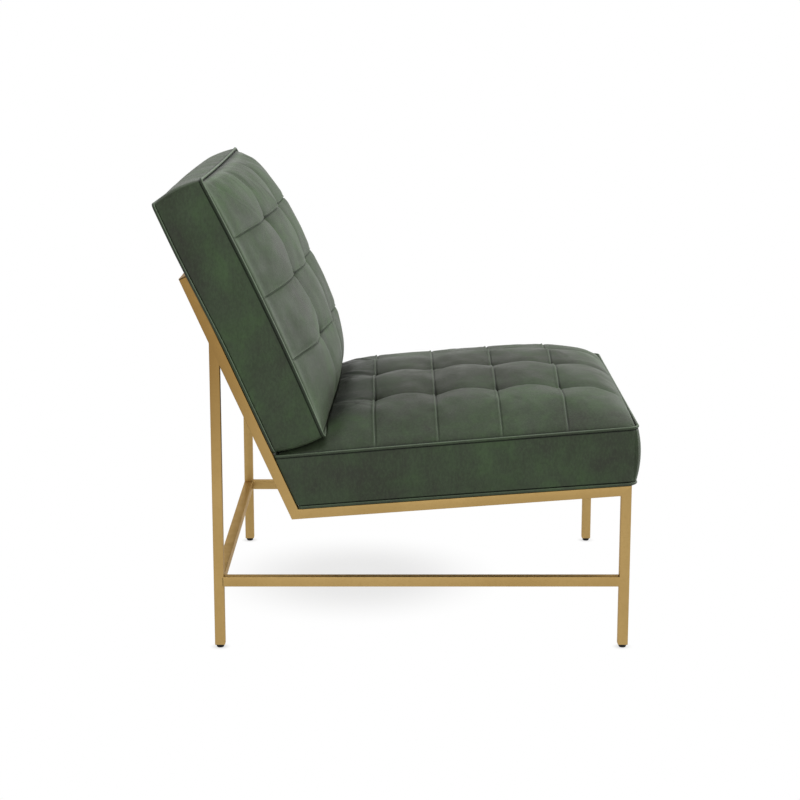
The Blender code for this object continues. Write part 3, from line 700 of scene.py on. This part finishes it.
def smoothed(values, axis, passes):
    """Repeated 1-2-1 averaging along an axis, with its ends kept."""
    values = np.moveaxis(values, axis, 0).copy()
    for _ in range(passes):
        values[1:-1] = (values[:-2] + 2 * values[1:-1] + values[2:]) / 4
    return np.moveaxis(values, 0, axis)


def add_cloth(obj):
    """Pressed from inside, without weight, and held where its group says."""
    cloth = obj.modifiers.new("cloth", "CLOTH")
    for key, value in CLOTH.items():
        setattr(cloth.settings, key, value)
    cloth.settings.effector_weights.gravity = 0.0
    cloth.collision_settings.use_collision = False
    cloth.point_cache.frame_start = 1
    cloth.point_cache.frame_end = CLOTH_FRAMES


def puff(pad, xs, ys):
    """Cloth simulation of the panel and boxing: returns how far each grid point moves."""
    gx, gy = np.meshgrid(xs, ys)
    panel = pad.panel(gx, gy)
    ny, nx = gx.shape
    ring = ring_of(ny, nx)
    rx, ry = ring_places(gx, gy)
    shares = [k / CLOTH_ROWS for k in range(1, CLOTH_ROWS + 1)]
    boxing = [pad.boxing(rx, ry, np.full(len(rx), share)) for share in shares]
    verts = np.concatenate([panel.reshape(-1, 3)] + boxing)
    faces, last = shell_faces(ny, nx, CLOTH_ROWS)
    obj = mesh_object("puff_try", verts, faces)
    hold = obj.vertex_groups.new(name="hold")
    at_seam = pad.seam_distance(gy).reshape(-1) < ON_LINE
    at_fold = pad.fold_distance(gx).reshape(-1) < ON_LINE
    pressed = (panel[..., 2] >= pad.press(gx, gy) - ON_LINE).reshape(-1)
    weight = np.zeros(ny * nx)
    weight[at_fold | at_seam] = LINE_HOLD
    weight[(at_seam & at_fold) | pressed] = 1.0
    weight[ring] = 1.0
    for value in np.unique(weight):
        if value > 0:
            hold.add(np.nonzero(weight == value)[0].tolist(), float(value), "REPLACE")
    hold.add(last.tolist(), 1.0, "REPLACE")
    add_cloth(obj)
    scene = bpy.context.scene
    for number in range(1, CLOTH_FRAMES + 1):
        scene.frame_set(number)
    shaped = obj.evaluated_get(bpy.context.evaluated_depsgraph_get())
    result = np.empty(len(verts) * 3, dtype=np.float32)
    shaped.data.vertices.foreach_get("co", result)
    moved = result.reshape(-1, 3).astype(float) - verts
    scene.frame_set(1)
    bpy.data.objects.remove(obj)
    far = np.linalg.norm(moved, axis=1, keepdims=True)
    moved *= np.minimum(1.0, CLOTH_CAP / np.maximum(far, 1e-9))
    panel_moved = smoothed(smoothed(moved[: ny * nx].reshape(ny, nx, 3), 0, 2), 1, 2)
    panel_moved *= np.minimum(pad.dome(gx, gy) / CLOTH_EASE, 1.0)[..., None]
    box_moved = moved[ny * nx :].reshape(CLOTH_ROWS, len(ring), 3)
    wrap = 12
    wrapped = np.concatenate([box_moved[:, -wrap:], box_moved, box_moved[:, :wrap]], axis=1)
    box_moved = BOXING_SWELL * smoothed(wrapped, 1, wrap // 2)[:, wrap:-wrap]
    box_moved = np.concatenate([panel_moved.reshape(-1, 3)[ring][None], box_moved])
    return panel_moved, box_moved


def beside_run(gx, gy, x, y, run):
    """Distances from a place, along a direction and across it."""
    dx, dy = gx - x, gy - y
    return dx * run[0] + dy * run[1], dx * run[1] - dy * run[0]


def wrinkled(pad, gx, gy):
    """Soft creases in the hide: short runs at seeded places inside the pad's wrinkled bands."""
    rng = np.random.default_rng(pad.seed)
    rise = np.zeros_like(gx)
    for count, low, high, turn, depth in pad.wrinkles:
        for _ in range(count):
            x = rng.uniform(-0.34, 0.34)
            y = rng.uniform(low, high)
            angle = math.radians(turn * rng.choice((-1, 1)) + rng.uniform(-14, 14))
            length = rng.uniform(0.018, 0.050)
            width = rng.uniform(0.0030, 0.0055)
            along, across = beside_run(gx, gy, x, y, (math.sin(angle), math.cos(angle)))
            across = across + 0.12 * along**2 / length
            fade = np.exp(-((along / length) ** 4))
            line = bell(across, width) - 0.7 * bell(across - 2 * width, width)
            rise -= depth * rng.uniform(0.5, 1.0) * line * fade
    return rise


class Grid:
    """Dense grid of a pad's panel, with each place's distances from seams, folds and edges."""

    def __init__(self, pad):
        self.xs = dense(STOPS_X, FINE_STEP, EDGE_PLACES, FOLD_PLACES)
        self.ys = dense(pad.stops, FINE_STEP, EDGE_PLACES, SEAM_PLACES)
        if pad.meeting:
            low, high = pad.meeting
            kept = self.ys[(self.ys < low - MEETING_STEP / 2) | (self.ys > high)]
            self.ys = np.sort(np.concatenate([kept, np.arange(low, high, MEETING_STEP)]))
        self.x, self.y = np.meshgrid(self.xs, self.ys)
        self.rx, self.ry = ring_places(self.x, self.y)
        nearest = np.argmin([np.abs(self.y - s) for s in pad.seams], axis=0)
        self.past_seam = self.y - np.array(pad.seams)[nearest]
        self.fold = pad.fold_distance(self.x)
        self.inward = HALF - np.abs(self.x)
        ends = np.minimum(self.y - pad.near, pad.far - self.y)
        self.from_edge = np.minimum(self.inward, ends)


def stuffed(pad, grid):
    """Panel and boxing, puffed up by the simulation."""
    panel = pad.panel(grid.x, grid.y)
    full = np.ones(len(grid.rx))
    boxing = np.stack([pad.boxing(grid.rx, grid.ry, share * full) for share in SHARES])
    xs, ys = spread(STOPS_X, CLOTH_STEP), spread(pad.stops, CLOTH_STEP)
    moved, box_moved = puff(pad, xs, ys)
    at_x = np.interp(grid.xs, xs, np.arange(len(xs)))
    at_y = np.interp(grid.ys, ys, np.arange(len(ys)))
    end_x, end_y = len(xs) - 1, len(ys) - 1
    back = end_x + end_y + (end_x - at_x[:0:-1])
    right = 2 * end_x + end_y + (end_y - at_y[:0:-1])
    at_ring = np.concatenate([at_x[:-1], end_x + at_y[:-1], back, right])
    looped = np.concatenate([box_moved, box_moved[:, :1]], axis=1)
    panel += cubic(cubic(moved, at_y, 0), at_x, 1)
    boxing += cubic(cubic(looped, SHARES * CLOTH_ROWS, 0), at_ring, 1)
    return panel, boxing


def add_relief(pad, grid, height):
    """Seams with lapped ridges, tufts, folds and wrinkles, worked into the heights in place."""
    ease = np.minimum(4 * pad.dome(grid.x, grid.y) + 0.15, 1.0)
    ridge = pad.ridge * bell(grid.past_seam - pad.ridge_at, pad.ridge_width)
    groove = pad.groove * bell(grid.past_seam - pad.groove_at, GROOVE_WIDTH)
    height += (ridge - groove) * ease
    for c in COLUMNS:
        for s in pad.seams:
            dx, dy = grid.x - c, grid.y - s
            height -= PUCKER * bell(dx, PUCKER_SIZE[0], dy, PUCKER_SIZE[1])
            reach = np.where(dy < 0, PINCH_AHEAD, PINCH_BEHIND)
            height -= PINCH * np.exp(-np.abs(dx) / PINCH_WIDTH - np.abs(dy) / reach)
            along = np.where(dy < 0, np.exp(dy / HOLLOW_AHEAD), np.exp(-dy / HOLLOW_BEHIND))
            height -= HOLLOW * bell(dx, HOLLOW_WIDTH) * along
    height -= pad.fold_line * np.exp(-grid.fold / FOLD_LINE_WIDTH) * ease
    for place, width in DENTS:
        height -= pad.dent * bell(grid.inward - place, width) * ease
    for x, y, to_x, to_y in pad.folds:
        run = np.array([to_x - x, to_y - y])
        length = np.hypot(*run)
        run /= length
        along, across = beside_run(grid.x, grid.y, x, y, run)
        fade = np.exp(-(((along - 0.45 * length) / (0.55 * length)) ** 4))
        ridge = 0.6 * bell(across - PLEAT_RIDGE_AT, PLEAT_RIDGE_WIDTH)
        height -= PLEAT_DEPTH * (bell(across, PLEAT_WIDTH) - ridge) * fade
    height += wrinkled(pad, grid.x, grid.y) * ease
    lowest = pad.depth(grid.y) - PRESS_LIMIT
    height[:] = np.minimum(height, np.maximum(pad.press(grid.x, grid.y), lowest))


def painted_panel_shade(pad, grid):
    """Shares of painted shade on the panel, along its lines and in front of what rests on it."""
    fold = grid.fold
    from_groove = grid.past_seam - pad.groove_at
    # Painted shade along seams, at tufts, in folds and on their flanks, where shade falls.
    along_seam = bell(from_groove, SEAM_MARK) * pad.seam_dark
    along_seam *= 0.55 + 0.45 * bell(fold, BESIDE_FOLD)
    across = np.abs(grid.x)
    inner_side = (across < COLUMNS[-1]) & (across > COLUMNS[-1] / 2)
    reach = np.where(inner_side, TUFT_MARK_INNER, TUFT_MARK_OUTER)
    near_tuft = bell(fold, reach, from_groove, TUFT_MARK_LENGTH)
    at_tuft = bell(grid.past_seam - pad.wedge_at, pad.wedge)
    in_fold = bell(fold, FOLD_MARK + FOLD_MARK_AT_TUFT * at_tuft)
    in_fold *= pad.fold_dark + 0.6 * at_tuft
    wide, long = FLANK_SIZE
    flank = pad.flank_dark * bell(fold, wide, grid.past_seam - pad.flank_at, long)
    at_edge = bell(grid.from_edge, EDGE_MARK)
    # Painted shade on the seat in front of the back cushion, which shades it.
    covered = pad.press(grid.x, grid.y) < FAR_OFF / 2
    cover_at = np.where(covered.any(axis=0), grid.ys[np.argmax(covered, axis=0)], FAR_OFF)
    ahead = np.maximum(cover_at[None] - grid.y, 0.0)
    inside = 0.08 + 0.92 * ramp(grid.inward, SHADE_FROM, SHADE_TO)
    shaded = 1.10 * np.exp(-ahead / SHADE_REACH) * inside
    darkest = np.max([along_seam, near_tuft, in_fold, flank, at_edge, shaded], axis=0)
    return np.minimum(darkest, 1.0)


def cushion_marks(pad, grid, under_rings):
    """Shares of painted shade, side shade, painted highlight and patch, in the vertices' order."""
    ring_size = len(grid.rx)
    shapes = (grid.x.shape, (len(SHARES), ring_size), (under_rings, ring_size))

    def joined(*parts):
        spread_out = (np.broadcast_to(part, shape) for part, shape in zip(parts, shapes))
        return np.concatenate([part.reshape(-1) for part in spread_out])

    # Painted shade on the boxing beside each welt, scaled at the rear welt by rear_line.
    from_welt = np.maximum(np.minimum(SHARES, 1 - SHARES) - WELT_SHARE, 0.0)
    on_band = BAND_DARK * bell(from_welt, BAND_MARK)
    on_band *= np.where(SHARES < 0.5, 1.0, pad.rear_line)
    # The side bands, whose hide the material darkens as painted shade.
    painted_side_shade = np.where(np.abs(grid.rx) > HALF - 0.002, 1.0, 0.0)
    # Painted highlight on the seam ridges and, where asked, beside the panel's edge.
    on_ridge = bell(grid.past_seam - pad.ridge_at, 0.9 * pad.ridge_width) * pad.seam_rub
    at_edge = bell(grid.from_edge - EDGE_HIGHLIGHT_AT, EDGE_HIGHLIGHT_WIDTH) * pad.edge_highlight
    panel_patch = np.zeros(grid.x.shape)
    for x, y, wide, long, amount in pad.patches:
        panel_patch += amount * bell(grid.x - x, wide, grid.y - y, long)
    band_patch = np.zeros((len(SHARES), ring_size))
    for share, y, wide, long, amount in pad.band_patches:
        band_patch += amount * bell(SHARES[:, None] - share, wide, grid.ry[None] - y, long)
    return {
        "crease": joined(painted_panel_shade(pad, grid), on_band[:, None], 0.0),
        "side": joined(0.0, painted_side_shade, painted_side_shade),
        "rub": joined(np.maximum(on_ridge, at_edge), 0.0, 0.0),
        "patch": joined(panel_patch, band_patch, 0.0),
    }


def build_cushion(pad):
    """Dense visual mesh of a cushion's cover."""
    grid = Grid(pad)
    panel, boxing = stuffed(pad, grid)
    add_relief(pad, grid, panel[..., 2])
    under = pad.underside(grid.rx, grid.ry)
    verts = np.concatenate([panel.reshape(-1, 3), boxing.reshape(-1, 3), *under])
    faces, _ = shell_faces(*grid.x.shape, len(SHARES) + len(under))
    obj = mesh_object(pad.name, in_world(verts, pad.matrix), faces)
    set_marks(obj, cushion_marks(pad, grid, len(under)))
    set_material(obj, LEATHER)
    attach(obj, "chair")
    return obj


SEAT_ORIGIN = placed(RAIL_FRONT + RAIL_UP * TUBE, ACROSS, RAIL_UP)
BACK_ORIGIN = placed(HEEL + UPRIGHT_FRONT * TUBE, ACROSS, UPRIGHT_FRONT)


def under_pieces(pieces):
    """Greatest height of the seat at a place, just below the finished pieces that rest on it."""
    to_seat = SEAT_ORIGIN.inverted()
    verts, faces = [], []
    for piece in pieces:
        start = len(verts)
        verts += [to_seat @ vert.co for vert in piece.data.vertices]
        faces += [[start + index for index in face.vertices] for face in piece.data.polygons]
    tree = BVHTree.FromPolygons(verts, faces)
    up = Vector((0.0, 0.0, 1.0))

    def lowest(x, y):
        """Lowest point of the pieces above a place, or far up where they leave it free."""
        hit = tree.ray_cast(Vector((x, y, 0.04)), up)[0]
        return hit.z if hit else FAR_OFF

    def press(x, y):
        places = zip(np.ravel(x), np.ravel(y))
        found = [min(lowest(a, b), lowest(a, b + CLEAR)) for a, b in places]
        return np.array(found).reshape(np.shape(x)) - CLEAR

    return press


RAIL_TO_UPRIGHT = UPRIGHT_LEAN - RAIL_FALL
BACK_LOW = 0.1210
BACK_HIGH_LOW = 0.1310
BACK_TOP = 0.6420
BACK_PEAK = 0.0080
BACK_FAR = BACK_TOP + BACK_PEAK - WELT_SEAT
BACK_DEPTHS = (0.1024, 0.0955)
SEAT_DEPTHS = (0.1110, 0.1045)

CORNER_STEP = TUBE / math.tan((math.pi / 2 + RAIL_TO_UPRIGHT) / 2)
INNER_CORNER = HEEL + UPRIGHT_RUN * CORNER_STEP + UPRIGHT_FRONT * TUBE
SEAT_FRONT_LEAN = math.tan(math.radians(4.7))
SEAT_OVERHANG = 0.0102
SEAT_NEAR = -SEAT_OVERHANG - SEAT_DEPTHS[0] * SEAT_FRONT_LEAN + WELT_SEAT
SEAT_FAR = (
    (SEAT_ORIGIN.inverted() @ INNER_CORNER).y
    + SEAT_DEPTHS[1] * math.tan(RAIL_TO_UPRIGHT)
    - (WELT_SEAT + 0.0030 + 0.0006 / math.cos(RAIL_TO_UPRIGHT))
)

SEAT = Pad(
    name="seat_cushion",
    matrix=SEAT_ORIGIN,
    near=SEAT_NEAR,
    far=SEAT_FAR,
    corners=(0.013, 0.0015),
    between=FRAME_WIDTH / 2 - TUBE - 0.0013,
    meeting=(0.530, 0.569),
    base=RIM + 0.0001,
    depths=SEAT_DEPTHS,
    leans=(SEAT_FRONT_LEAN, -math.tan(RAIL_TO_UPRIGHT)),
    bulges=(np.array([[0.0090], [0.0072]]), np.array([[0.0170], [0.0030]])),
    draws=(0.0, DRAW_IN),
    profiles=((2.8, 0.40), (4.4, 0.60)),
    crown=0.0765,
    seams=[SEAT_NEAR + s for s in (0.1252, 0.2491, 0.3697, 0.4888)],
    seam_dip=0.0012,
    ridge=0.0022,
    ridge_at=0.0028,
    ridge_width=0.0018,
    groove=0.0018,
    groove_at=-0.0004,
    # Painted shade along seams, folds, flanks and tuft wedges; painted highlight on seam ridges.
    seam_dark=0.95,
    seam_rub=0.16,
    fold_line=0.0012,
    fold_dark=0.12,
    flank_at=-0.010,
    flank_dark=0.12,
    wedge_at=-0.006,
    wedge=0.010,
    patches=(
        (-0.10, 0.34, 0.26, 0.16, -0.13),
        (-0.29, 0.185, 0.07, 0.05, 0.07),
        (0.10, 0.20, 0.20, 0.12, -0.05),
        # Painted light at the near edge beside the back, where light gets past its shade.
        (-0.31, 0.53, 0.05, 0.05, 0.12),
    ),
    band_patches=(
        (0.6, 0.50, 0.6, 0.13, -0.05),
        (0.4, 0.27, 0.5, 0.06, 0.05),
        (0.5, 0.06, 0.5, 0.05, -0.03),
    ),
    folds=(
        (-0.191, 0.474, -0.262, 0.535),
        (-0.186, 0.476, -0.205, 0.545),
        (-0.002, 0.476, -0.050, 0.540),
        (0.004, 0.476, 0.022, 0.545),
        (0.191, 0.474, 0.255, 0.535),
        (0.186, 0.476, 0.170, 0.540),
    ),
    seed=7,
    wrinkles=((7, 0.48, 0.58, 40, 0.0008), (10, 0.02, 0.44, 60, 0.0006)),
)
BACK = Pad(
    name="back_cushion",
    matrix=BACK_ORIGIN,
    near=BACK_LOW + WELT_SEAT,
    far=BACK_FAR,
    corners=(0.010, 0.006),
    depths=BACK_DEPTHS,
    bow=0.006,
    leans=(
        (BACK_HIGH_LOW - BACK_LOW) / BACK_DEPTHS[0],
        -(BACK_PEAK - 0.0026) / BACK_DEPTHS[1],
    ),
    bulges=(np.array([[0.0050], [0.0050]]), np.array([[0.0135], [0.0068]])),
    draws=(DRAW_IN, DRAW_IN),
    base=0.0022,
    rim=lambda y: RIM + 0.0005 - 0.0065 * ramp(y, 0.33, 0.58),
    widen=lambda y: 0.0042 * ramp(y, 0.33, 0.42),
    profiles=((3.4, 0.69), (4.3, 0.40)),
    crown=0.0730,
    seams=[BACK_FAR - s for s in (0.3684, 0.2406, 0.1177)],
    seam_dip=0.0028,
    ridge=0.0012,
    ridge_at=0.0020,
    ridge_width=0.0012,
    groove=0.0022,
    groove_at=-0.0006,
    # Painted shade on seams, folds, flanks, tuft wedges; painted highlight on ridges and edge.
    seam_dark=0.80,
    seam_rub=0.08,
    fold_line=0.0004,
    fold_dark=0.03,
    flank_at=0.013,
    flank_dark=0.42,
    wedge_at=0.003,
    wedge=0.015,
    edge_highlight=0.16,
    rear_line=0.2,
    dent=0.0030,
    folds=((-0.335, 0.625, -0.270, 0.540), (0.335, 0.625, 0.270, 0.540)),
    patches=(
        (-0.29, 0.60, 0.05, 0.05, 0.06),
        (-0.28, 0.40, 0.04, 0.14, -0.05),
        (-0.345, 0.47, 0.03, 0.06, -0.06),
        (-0.23, 0.30, 0.05, 0.06, 0.05),
    ),
    band_patches=(
        (0.95, 0.56, 0.35, 0.12, -0.10),
        (0.30, 0.60, 0.25, 0.05, 0.06),
        (0.5, 0.47, 0.2, 0.02, 0.05),
    ),
    seed=11,
    wrinkles=((9, 0.56, 0.63, 12, 0.0008), (10, 0.14, 0.56, 70, 0.0006)),
)

# Welts


def welt_loop(pad, line):
    """Closed centre line of a welt, standing off the boxing."""
    corner = max(pad.corners)
    fan = [corner * t for t in (0.08, 0.15, 0.3, 0.5, 0.7, 0.85, 1.0)]
    xs = dense([-HALF, HALF], 0.012, fan, fan)
    ys = dense([pad.near, pad.far], 0.012, fan, fan)
    rx, ry = ring_places(*np.meshgrid(xs, ys))
    height = line(ry)
    new_x, new_y = pad.outline(rx, ry, WELT_SEAT / 2 + WELT_OFFSET)
    top = pad.depth(ry)
    new_x = new_x + rx / HALF * pad.widen(ry) * (top - height) / (top - pad.rim(ry))
    return np.stack([new_x, new_y + pad.shear(ry, height), height], axis=-1)


def build_welt(name, node, pad, line, shade, highlight):
    """Leather cord, a closed tube: painted highlight along its upper side, painted shade outside.
    """
    loop = welt_loop(pad, line)
    along = np.roll(loop, -1, axis=0) - np.roll(loop, 1, axis=0)
    along /= np.linalg.norm(along, axis=1, keepdims=True)
    outward = np.cross(along, (0.0, 0.0, 1.0))
    outward /= np.linalg.norm(outward, axis=1, keepdims=True)
    upward = np.cross(outward, along)
    sides = 16
    angles = np.arange(sides) * 2 * np.pi / sides
    rim = np.cos(angles)[:, None] * outward[:, None] + np.sin(angles)[:, None] * upward[:, None]
    verts = (loop[:, None] + WELT_RADIUS * rim).reshape(-1, 3)
    index = np.arange(len(verts)).reshape(len(loop), sides)
    ahead, beside = np.roll(index, -1, axis=0), np.roll(index, -1, axis=1)
    faces = np.stack([index, ahead, np.roll(ahead, -1, axis=1), beside], axis=-1)
    obj = mesh_object(name, in_world(verts, pad.matrix), faces.reshape(-1, 4).tolist())
    turn = np.degrees(np.where(angles > np.pi, angles - 2 * np.pi, angles))
    # Painted highlight on the cord's upper side, painted shade on its outer side.
    rub, crease = highlight * bell(turn - 62, 22), shade * bell(turn + 10, 50)
    set_marks(obj, {"rub": np.tile(rub, len(loop)), "crease": np.tile(crease, len(loop))})
    set_material(obj, LEATHER)
    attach(obj, "chair")
    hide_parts(node)
    return obj


back_cushion = build_cushion(BACK)
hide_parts("back_cover", "back_foam")
front_welt = build_welt("back_welt_front", "back_front_welt", BACK, BACK.top_line, 0.72, 0.60)
rear_welt = build_welt("back_welt_rear", "back_rear_welt", BACK, BACK.low_line, 0.60, 1.00)

SEAT.press = under_pieces([back_cushion, front_welt, rear_welt])
seat_cushion = build_cushion(SEAT)
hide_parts("seat_cover", "seat_foam")
build_welt("seat_welt_upper", "seat_top_welt", SEAT, SEAT.top_line, 0.25, 0.45)
build_welt("seat_welt_lower", "seat_bottom_welt", SEAT, SEAT.low_line, 0.25, 0.35)

# Rear panel and dust cover


def flat_sheet(name, node, low, high, matrix, step):
    """A thin flat panel between two corners."""
    gx, gy = np.meshgrid(spread([low[0], high[0]], step), spread([low[1], high[1]], step))
    sides = [np.stack([gx, gy, np.full(gx.shape, z)], axis=-1) for z in (high[2], low[2])]
    verts = np.concatenate([side.reshape(-1, 3) for side in sides])
    quads = grid_quads(*gx.shape)
    ring = ring_of(*gx.shape)
    below, beside = ring + gx.size, np.roll(ring, -1)
    walls = np.stack([ring, below, beside + gx.size, beside], axis=-1)
    faces = np.concatenate([quads, quads[:, ::-1] + gx.size, walls])
    obj = mesh_object(name, in_world(verts, matrix), faces.tolist())
    obj.data.set_sharp_from_angle(angle=math.radians(40))
    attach(obj, "chair")
    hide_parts(node)
    return obj


DUST = 0.0012
DUST_GAP = 0.0003
inner_x = FRAME_WIDTH / 2 - TUBE - DUST_GAP
rear_edge = RAIL_LENGTH - REAR_RAIL_SETBACK - TUBE / 2 - DUST_GAP
dust = flat_sheet(
    "seat_dust_cloth",
    "seat_dust_cover",
    (-inner_x, TUBE + DUST_GAP, -DUST),
    (inner_x, rear_edge, 0.0),
    SEAT_ORIGIN,
    0.02,
)
set_material(dust, CAMBRIC)

PANEL_EDGE = 0.0036
panel = flat_sheet(
    "back_panel_leather",
    "back_rear_panel",
    (-HALF + PANEL_EDGE, BACK_HIGH_LOW + WELT_SEAT + PANEL_EDGE, 0.0003),
    (HALF - PANEL_EDGE, BACK_TOP - WELT_SEAT - PANEL_EDGE, 0.0018),
    BACK_ORIGIN,
    0.012,
)
set_material(panel, LEATHER)

# Camera, floor and light

WHITE = (1.0, 1.0, 1.0)


def camera():
    """The photo's camera, as solved from the frame's straight edges."""
    data = bpy.data.cameras.new("photo_camera")
    data.lens = 85.17
    data.sensor_width = 36.0
    data.clip_end = 100.0
    obj = new_object("photo_camera", data)
    obj.location = (-3.8285, 0.0038, 1.2179)
    obj.rotation_euler = (math.radians(90 - 11.963), 0.0, math.radians(-90))
    bpy.context.scene.camera = obj


def lamp(name, location, target, size, power):
    """A rectangular lamp, turned towards its target."""
    data = bpy.data.lights.new(name, "AREA")
    data.shape = "RECTANGLE"
    data.size, data.size_y = size
    data.energy = power
    obj = new_object(name, data)
    obj.location = location
    obj.rotation_euler = (Vector(target) - Vector(location)).to_track_quat("-Z", "Y").to_euler()


def white_for_camera(nodes):
    """1 for the rays that see the plain white background: camera, glossy and transmission."""
    rays = ("Is Camera Ray", "Is Glossy Ray", "Is Transmission Ray")
    seen, *others = (nodes.made("ShaderNodeLightPath", {}, ray) for ray in rays)
    for other in others:
        seen = nodes.math("MAXIMUM", seen, other)
    return seen


def world():
    """Half a white for the light, and a full white for what the camera sees."""
    made = bpy.data.worlds.new("studio")
    bpy.context.scene.world = made
    made.use_nodes = True
    nodes = Nodes(made.node_tree)
    light = made.node_tree.nodes["Background"]
    nodes.feed(light.inputs["Color"], WHITE)
    nodes.feed(light.inputs["Strength"], 0.50)
    white = nodes.made("ShaderNodeBackground", {"Color": WHITE, "Strength": 1.0})
    nodes.blend(white_for_camera(nodes), light.outputs[0], white, "World Output")


def floor():
    """White for the camera but for a soft shadow under the seat and at each foot."""
    made = bpy.data.materials.new("floor_white")
    made.use_nodes = True
    nodes = Nodes(made.node_tree)
    made.node_tree.nodes.remove(made.node_tree.nodes["Principled BSDF"])
    card = nodes.made("ShaderNodeBsdfDiffuse", {"Color": (0.86, 0.86, 0.86)})
    glow = nodes.made("ShaderNodeEmission", {"Strength": 1.0})
    place = nodes.made("ShaderNodeTexCoord", {}, "Object")

    def shadowed(spot, centre, radius, low, start):
        """Share of white about a place: `low` at its middle, 1 beyond its radius."""
        offset = nodes.vector("SUBTRACT", spot, centre)
        scaled = nodes.vector("DIVIDE", offset, (radius, radius, 1.0))
        return nodes.remap(nodes.vector("LENGTH", scaled), start, 1.0, low, 1.0)

    under_seat = shadowed(place, (0.085, 0.10, 0.0), 0.34, 0.74, 0.25)
    from_middle = nodes.vector("ADD", place, (0.0, -(FRONT_Y + REAR_Y) / 2, 0.0))
    foot = (SIDE_X, LEG_SPAN / 2 - TUBE / 2, 0.0)
    at_feet = shadowed(nodes.vector("ABSOLUTE", from_middle), foot, 0.022, 0.70, 0.30)
    least = nodes.math("MINIMUM", under_seat, at_feet)
    share = nodes.math("MULTIPLY", white_for_camera(nodes), least)
    nodes.blend(share, card, glow, "Material Output")
    size = 30.0
    verts = [(-size, -size, 0.0), (size, -size, 0.0), (size, size, 0.0), (-size, size, 0.0)]
    obj = mesh_object("studio_floor", verts, [(0, 1, 2, 3)], smooth=False)
    set_material(obj, made)


camera()
world()
floor()
lamp("top_light", (0.0, 0.2, 3.4), (0.0, 0.0, 0.2), (3.6, 3.6), 24.0)
lamp("side_light", (-3.2, 0.3, 1.4), (0.0, 0.0, 0.45), (2.4, 2.4), 12.0)
lamp("front_light", (0.9, -3.2, 1.7), (0.0, 0.0, 0.5), (2.6, 2.2), 70.0)
bpy.context.scene.view_settings.view_transform = "Standard"
